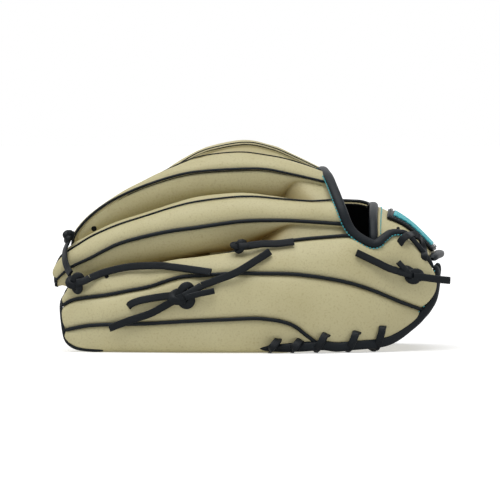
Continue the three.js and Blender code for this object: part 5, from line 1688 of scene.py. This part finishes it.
for name, (points, way, width) in LACE_ARMS.items():
    lace_arm(name, points, Vector(way), width)
laid_lace("pinky_knot_lace_in", [(128, 307), (131, 305), (140, 302), (152, 299.5), (162, 298), (172, 297)],
          [-0.002, 0.0016, 0.0028, 0.0028, 0.003, 0.004])

for name, centre, way, wide, tall, turn, width in (
    ("tip_knot", (-0.1269, -0.0667, 0.0518), (-0.35, -1, 0.1), 0.0168, 0.0182, 20, 0.0050),
    ("pinky_knot", (-0.0455, -0.0958, 0.043), (0, -1, 0.1), 0.0235, 0.0215, 35, LACE_WIDTH),
    ("crotch_knot", (-0.0041, -0.0794, 0.0798), (0, -1, 0.5), 0.0145, 0.0120, 10, 0.0040),
    ("strap_knot", (0.127, -0.0623, 0.0576), (0.55, -1, 0.3), 0.0215, 0.0150, -15, 0.0048),
):
    knot(name + "_lace", Vector(centre), Vector(way), wide, tall, name, turn, width)

route = [Vector(p) * MM for p in (
    (-131, -26, 88), (-133.6, -33, 82), (-135.8, -41, 75.8), (-135.6, -50, 68.4), (-133, -57, 61.6),
    (-130.9, -62, 58.4))]
tip_loop = sweep("tip_loop_lace", smooth_path(route, ARM_STEP), LACE_OUTLINE, toward(Vector((-1, -0.6, 0.4))))
finish_piece(tip_loop, "palm", "black_rawhide", RAWHIDE, "tip_lace")
knot("tip_loop_knot", Vector((-0.1337, -0.0335, 0.0862)), Vector((-0.4, -1, 0.3)), 0.0095, 0.0120, "",
     -20, 0.0042, 0.0022)
OVER_FLAP = Vector((0.3, -1, 0.8))
LOOP_PIXELS = [(399.5, 243.5), (402, 241), (406, 239.2), (410.7, 239), (416, 240.4), (420.5, 243)]
LOOP_OVER_PIXELS = [
    (414, 239.6), (416.6, 242.6), (419.6, 247.4), (422, 252.6), (423.6, 257.4), (424, 259.5),
]
laid_lace("strap_loop_lace", LOOP_PIXELS, [-0.001, 0.0030, 0.0050, 0.0058, 0.0050, 0.0020],
          node_name="strap_lace", way=OVER_FLAP)
laid_lace("strap_loop_lace_over", LOOP_OVER_PIXELS, [0.0050, 0.0072, 0.0060, 0.0042, 0.0024, -0.001],
          width=0.0052, way=OVER_FLAP)


def hole_lining_and_shade(name, px, py, radius):
    """A dark plug sunk in the leather where a lace goes through: it stands for the black lining behind the
    hole and painted shade inside it.
    """
    place_at, normal = on_leather(px, py)
    ring = [(radius * math.cos(a), radius * math.sin(a)) for a in spread(0, 2 * math.pi, 12)[:-1]]
    core = sweep(name, [place_at - normal * 0.0012, place_at + normal * 0.0002], ring)
    finish_piece(core, "palm", "black_leather", LINING)


# Where the dark plugs go, for the lining and painted shade seen in the lace holes: pixel and radius.
HOLE_PIXELS = [(94, 228.7, 0.0021), (101, 268.5, 0.0016), (106.8, 276.7, 0.0016), (398.5, 228, 0.0012)]
for number, (px, py, radius) in enumerate(HOLE_PIXELS, 1):
    hole_lining_and_shade(f"punched_hole_{number}", px, py, radius)


def heel_loops(name, holes, line, foot, out_way, body, node_name):
    """One flat lace wound through each hole, down over the binding and up through the foot."""
    points, spokes = [], []
    for hole, row in holes:
        edge = line(row)
        out = out_way(row)
        base = foot(row)
        floor = LACE_THICK / 2 + 0.0004
        axis = (hole + Vector((base.x, base.y, floor))) / 2 - out * 0.003
        low = Vector((edge.x, edge.y, max(floor, min(edge.z, 0.004)))) + out * 0.0042
        low.x -= 0.006
        under = Vector((base.x - 0.008, base.y, floor))
        inside = under + Vector((0, 0, 0.010)) - out * 0.002
        for p in (
            hole - out * 0.006, hole + out * 0.0016, hole.lerp(low, 0.5) + out * 0.003, low,
            low.lerp(under, 0.5), under, inside,
        ):
            points.append(p)
            spokes.append(p - axis)
    path = smooth_path(points, LACE_STEP)
    face_at = through(spokes)
    nearest, reach = [], through(points)
    dense = [(reach(r), r) for r in spread(0, len(points) - 1, len(points) * 12)]
    at = 0
    for p in path:
        window = range(at, min(len(dense), at + 30))
        at = min(window, key=lambda k: (dense[k][0] - p).length)
        nearest.append(dense[at][1])
    piece = sweep(name, path, LACE_OUTLINE, lambda i: face_at(nearest[i]))
    finish_piece(piece, body, "black_rawhide", RAWHIDE, node_name)


HEEL_HOLES = [(278, 340), (299.6, 340.6), (325, 335), (355.6, 333), (381.6, 328)]
HEEL_ROWS = [9.55, 10.3, 11.1, 11.97, 12.82]
heel_loops("heel_winding", [(on_leather(*pixel)[0], row) for pixel, row in zip(HEEL_HOLES, HEEL_ROWS)],
           pinky_lower, lambda row: pocket(palm_x(row), 0).lerp(pinky_foot(row), 0.5),
           lambda row: Vector((0.35 * smooth(11, 13.5, row), -1, 0)).normalized(), "palm", "heel_lace")


def thumb_hole(row):
    a, b = thumb.lower(row), thumb_lower(row)
    normal = panel_normal(thumb.lower, thumb_lower, row)
    return a.lerp(b, 0.78) + normal * (0.05 * (b - a).length)


heel_loops("thumb_heel_winding", [(thumb_hole(row), row) for row in spread(9.4, 11.6, 4)],
           thumb_lower, lambda row: pocket(thumb_x(row), 180).lerp(thumb_foot(row), 0.5),
           lambda row: Vector((0.35 * smooth(9.5, 11.8, row), 1, 0)).normalized(), "thumb", "thumb_heel_lace")


# Floor, light and the finished scene.

FLOOR_GLOW, FLOOR_BOUNCE, SKY_LEVEL = 0.52, 0.16, 0.16
KEY_FROM, KEY_LEVEL, KEY_WIDTH = (-0.25, -0.36, 2.2), 2.05, 55
FILL_FROM, FILL_LEVEL, FILL_WIDTH = (0.4, -1.5, 0.7), 0.08, 80
LIGHTS = {"key_light": (KEY_FROM, KEY_WIDTH, KEY_LEVEL), "fill_light": (FILL_FROM, FILL_WIDTH, FILL_LEVEL)}


def studio():
    """A plain pale floor that keeps the glove's soft shadow, and an even light from above."""
    deselect()
    bpy.ops.mesh.primitive_plane_add(size=60, location=(0, 0, -0.0002))
    floor = bpy.context.object
    floor.name = "studio_floor"
    material = bpy.data.materials.new("pale_floor")
    material.use_nodes = True
    tree = material.node_tree
    shader = tree.nodes["Principled BSDF"]
    for label, value in (
        ("Base Color", (0.86, 0.86, 0.86, 1)), ("Roughness", 1.0), ("Specular IOR Level", 0.0),
        ("Emission Color", (1, 1, 1, 1)),
    ):
        shader.inputs[label].default_value = value
    seen = node(tree, "ShaderNodeLightPath", -600, 300)
    glow = math_node(tree, "MULTIPLY", seen.outputs["Is Camera Ray"], FLOOR_GLOW - FLOOR_BOUNCE, -450, 300)
    glow = math_node(tree, "ADD", glow, FLOOR_BOUNCE, -250, 300)
    tree.links.new(glow, shader.inputs["Emission Strength"])
    floor.data.materials.append(material)
    world = bpy.data.worlds.new("studio")
    bpy.context.scene.world = world
    world.use_nodes = True
    tree = world.node_tree
    seen = node(tree, "ShaderNodeLightPath", -900, 300)
    camera_ray, glossy_ray = seen.outputs["Is Camera Ray"], seen.outputs["Is Glossy Ray"]
    direct = math_node(tree, "MAXIMUM", camera_ray, glossy_ray, -700, 300)
    direct = math_node(tree, "MAXIMUM", direct, seen.outputs["Is Transmission Ray"], -500, 300)
    strength = node(tree, "ShaderNodeMapRange", -300, 300, To_Min=SKY_LEVEL)
    tree.links.new(direct, strength.inputs["Value"])
    tree.links.new(strength.outputs[0], tree.nodes["Background"].inputs["Strength"])
    tree.nodes["Background"].inputs["Color"].default_value = (1, 1, 1, 1)
    for name, (way, width, level) in LIGHTS.items():
        deselect()
        bpy.ops.object.light_add(type="SUN", location=aim_at + Vector(way))
        lamp = bpy.context.object
        lamp.name = name
        lamp.data.angle = math.radians(width)
        lamp.data.energy = level
        lamp.rotation_euler = (-Vector(way)).to_track_quat("-Z", "Y").to_euler()


studio()
bpy.context.scene.view_settings.view_transform = "Standard"
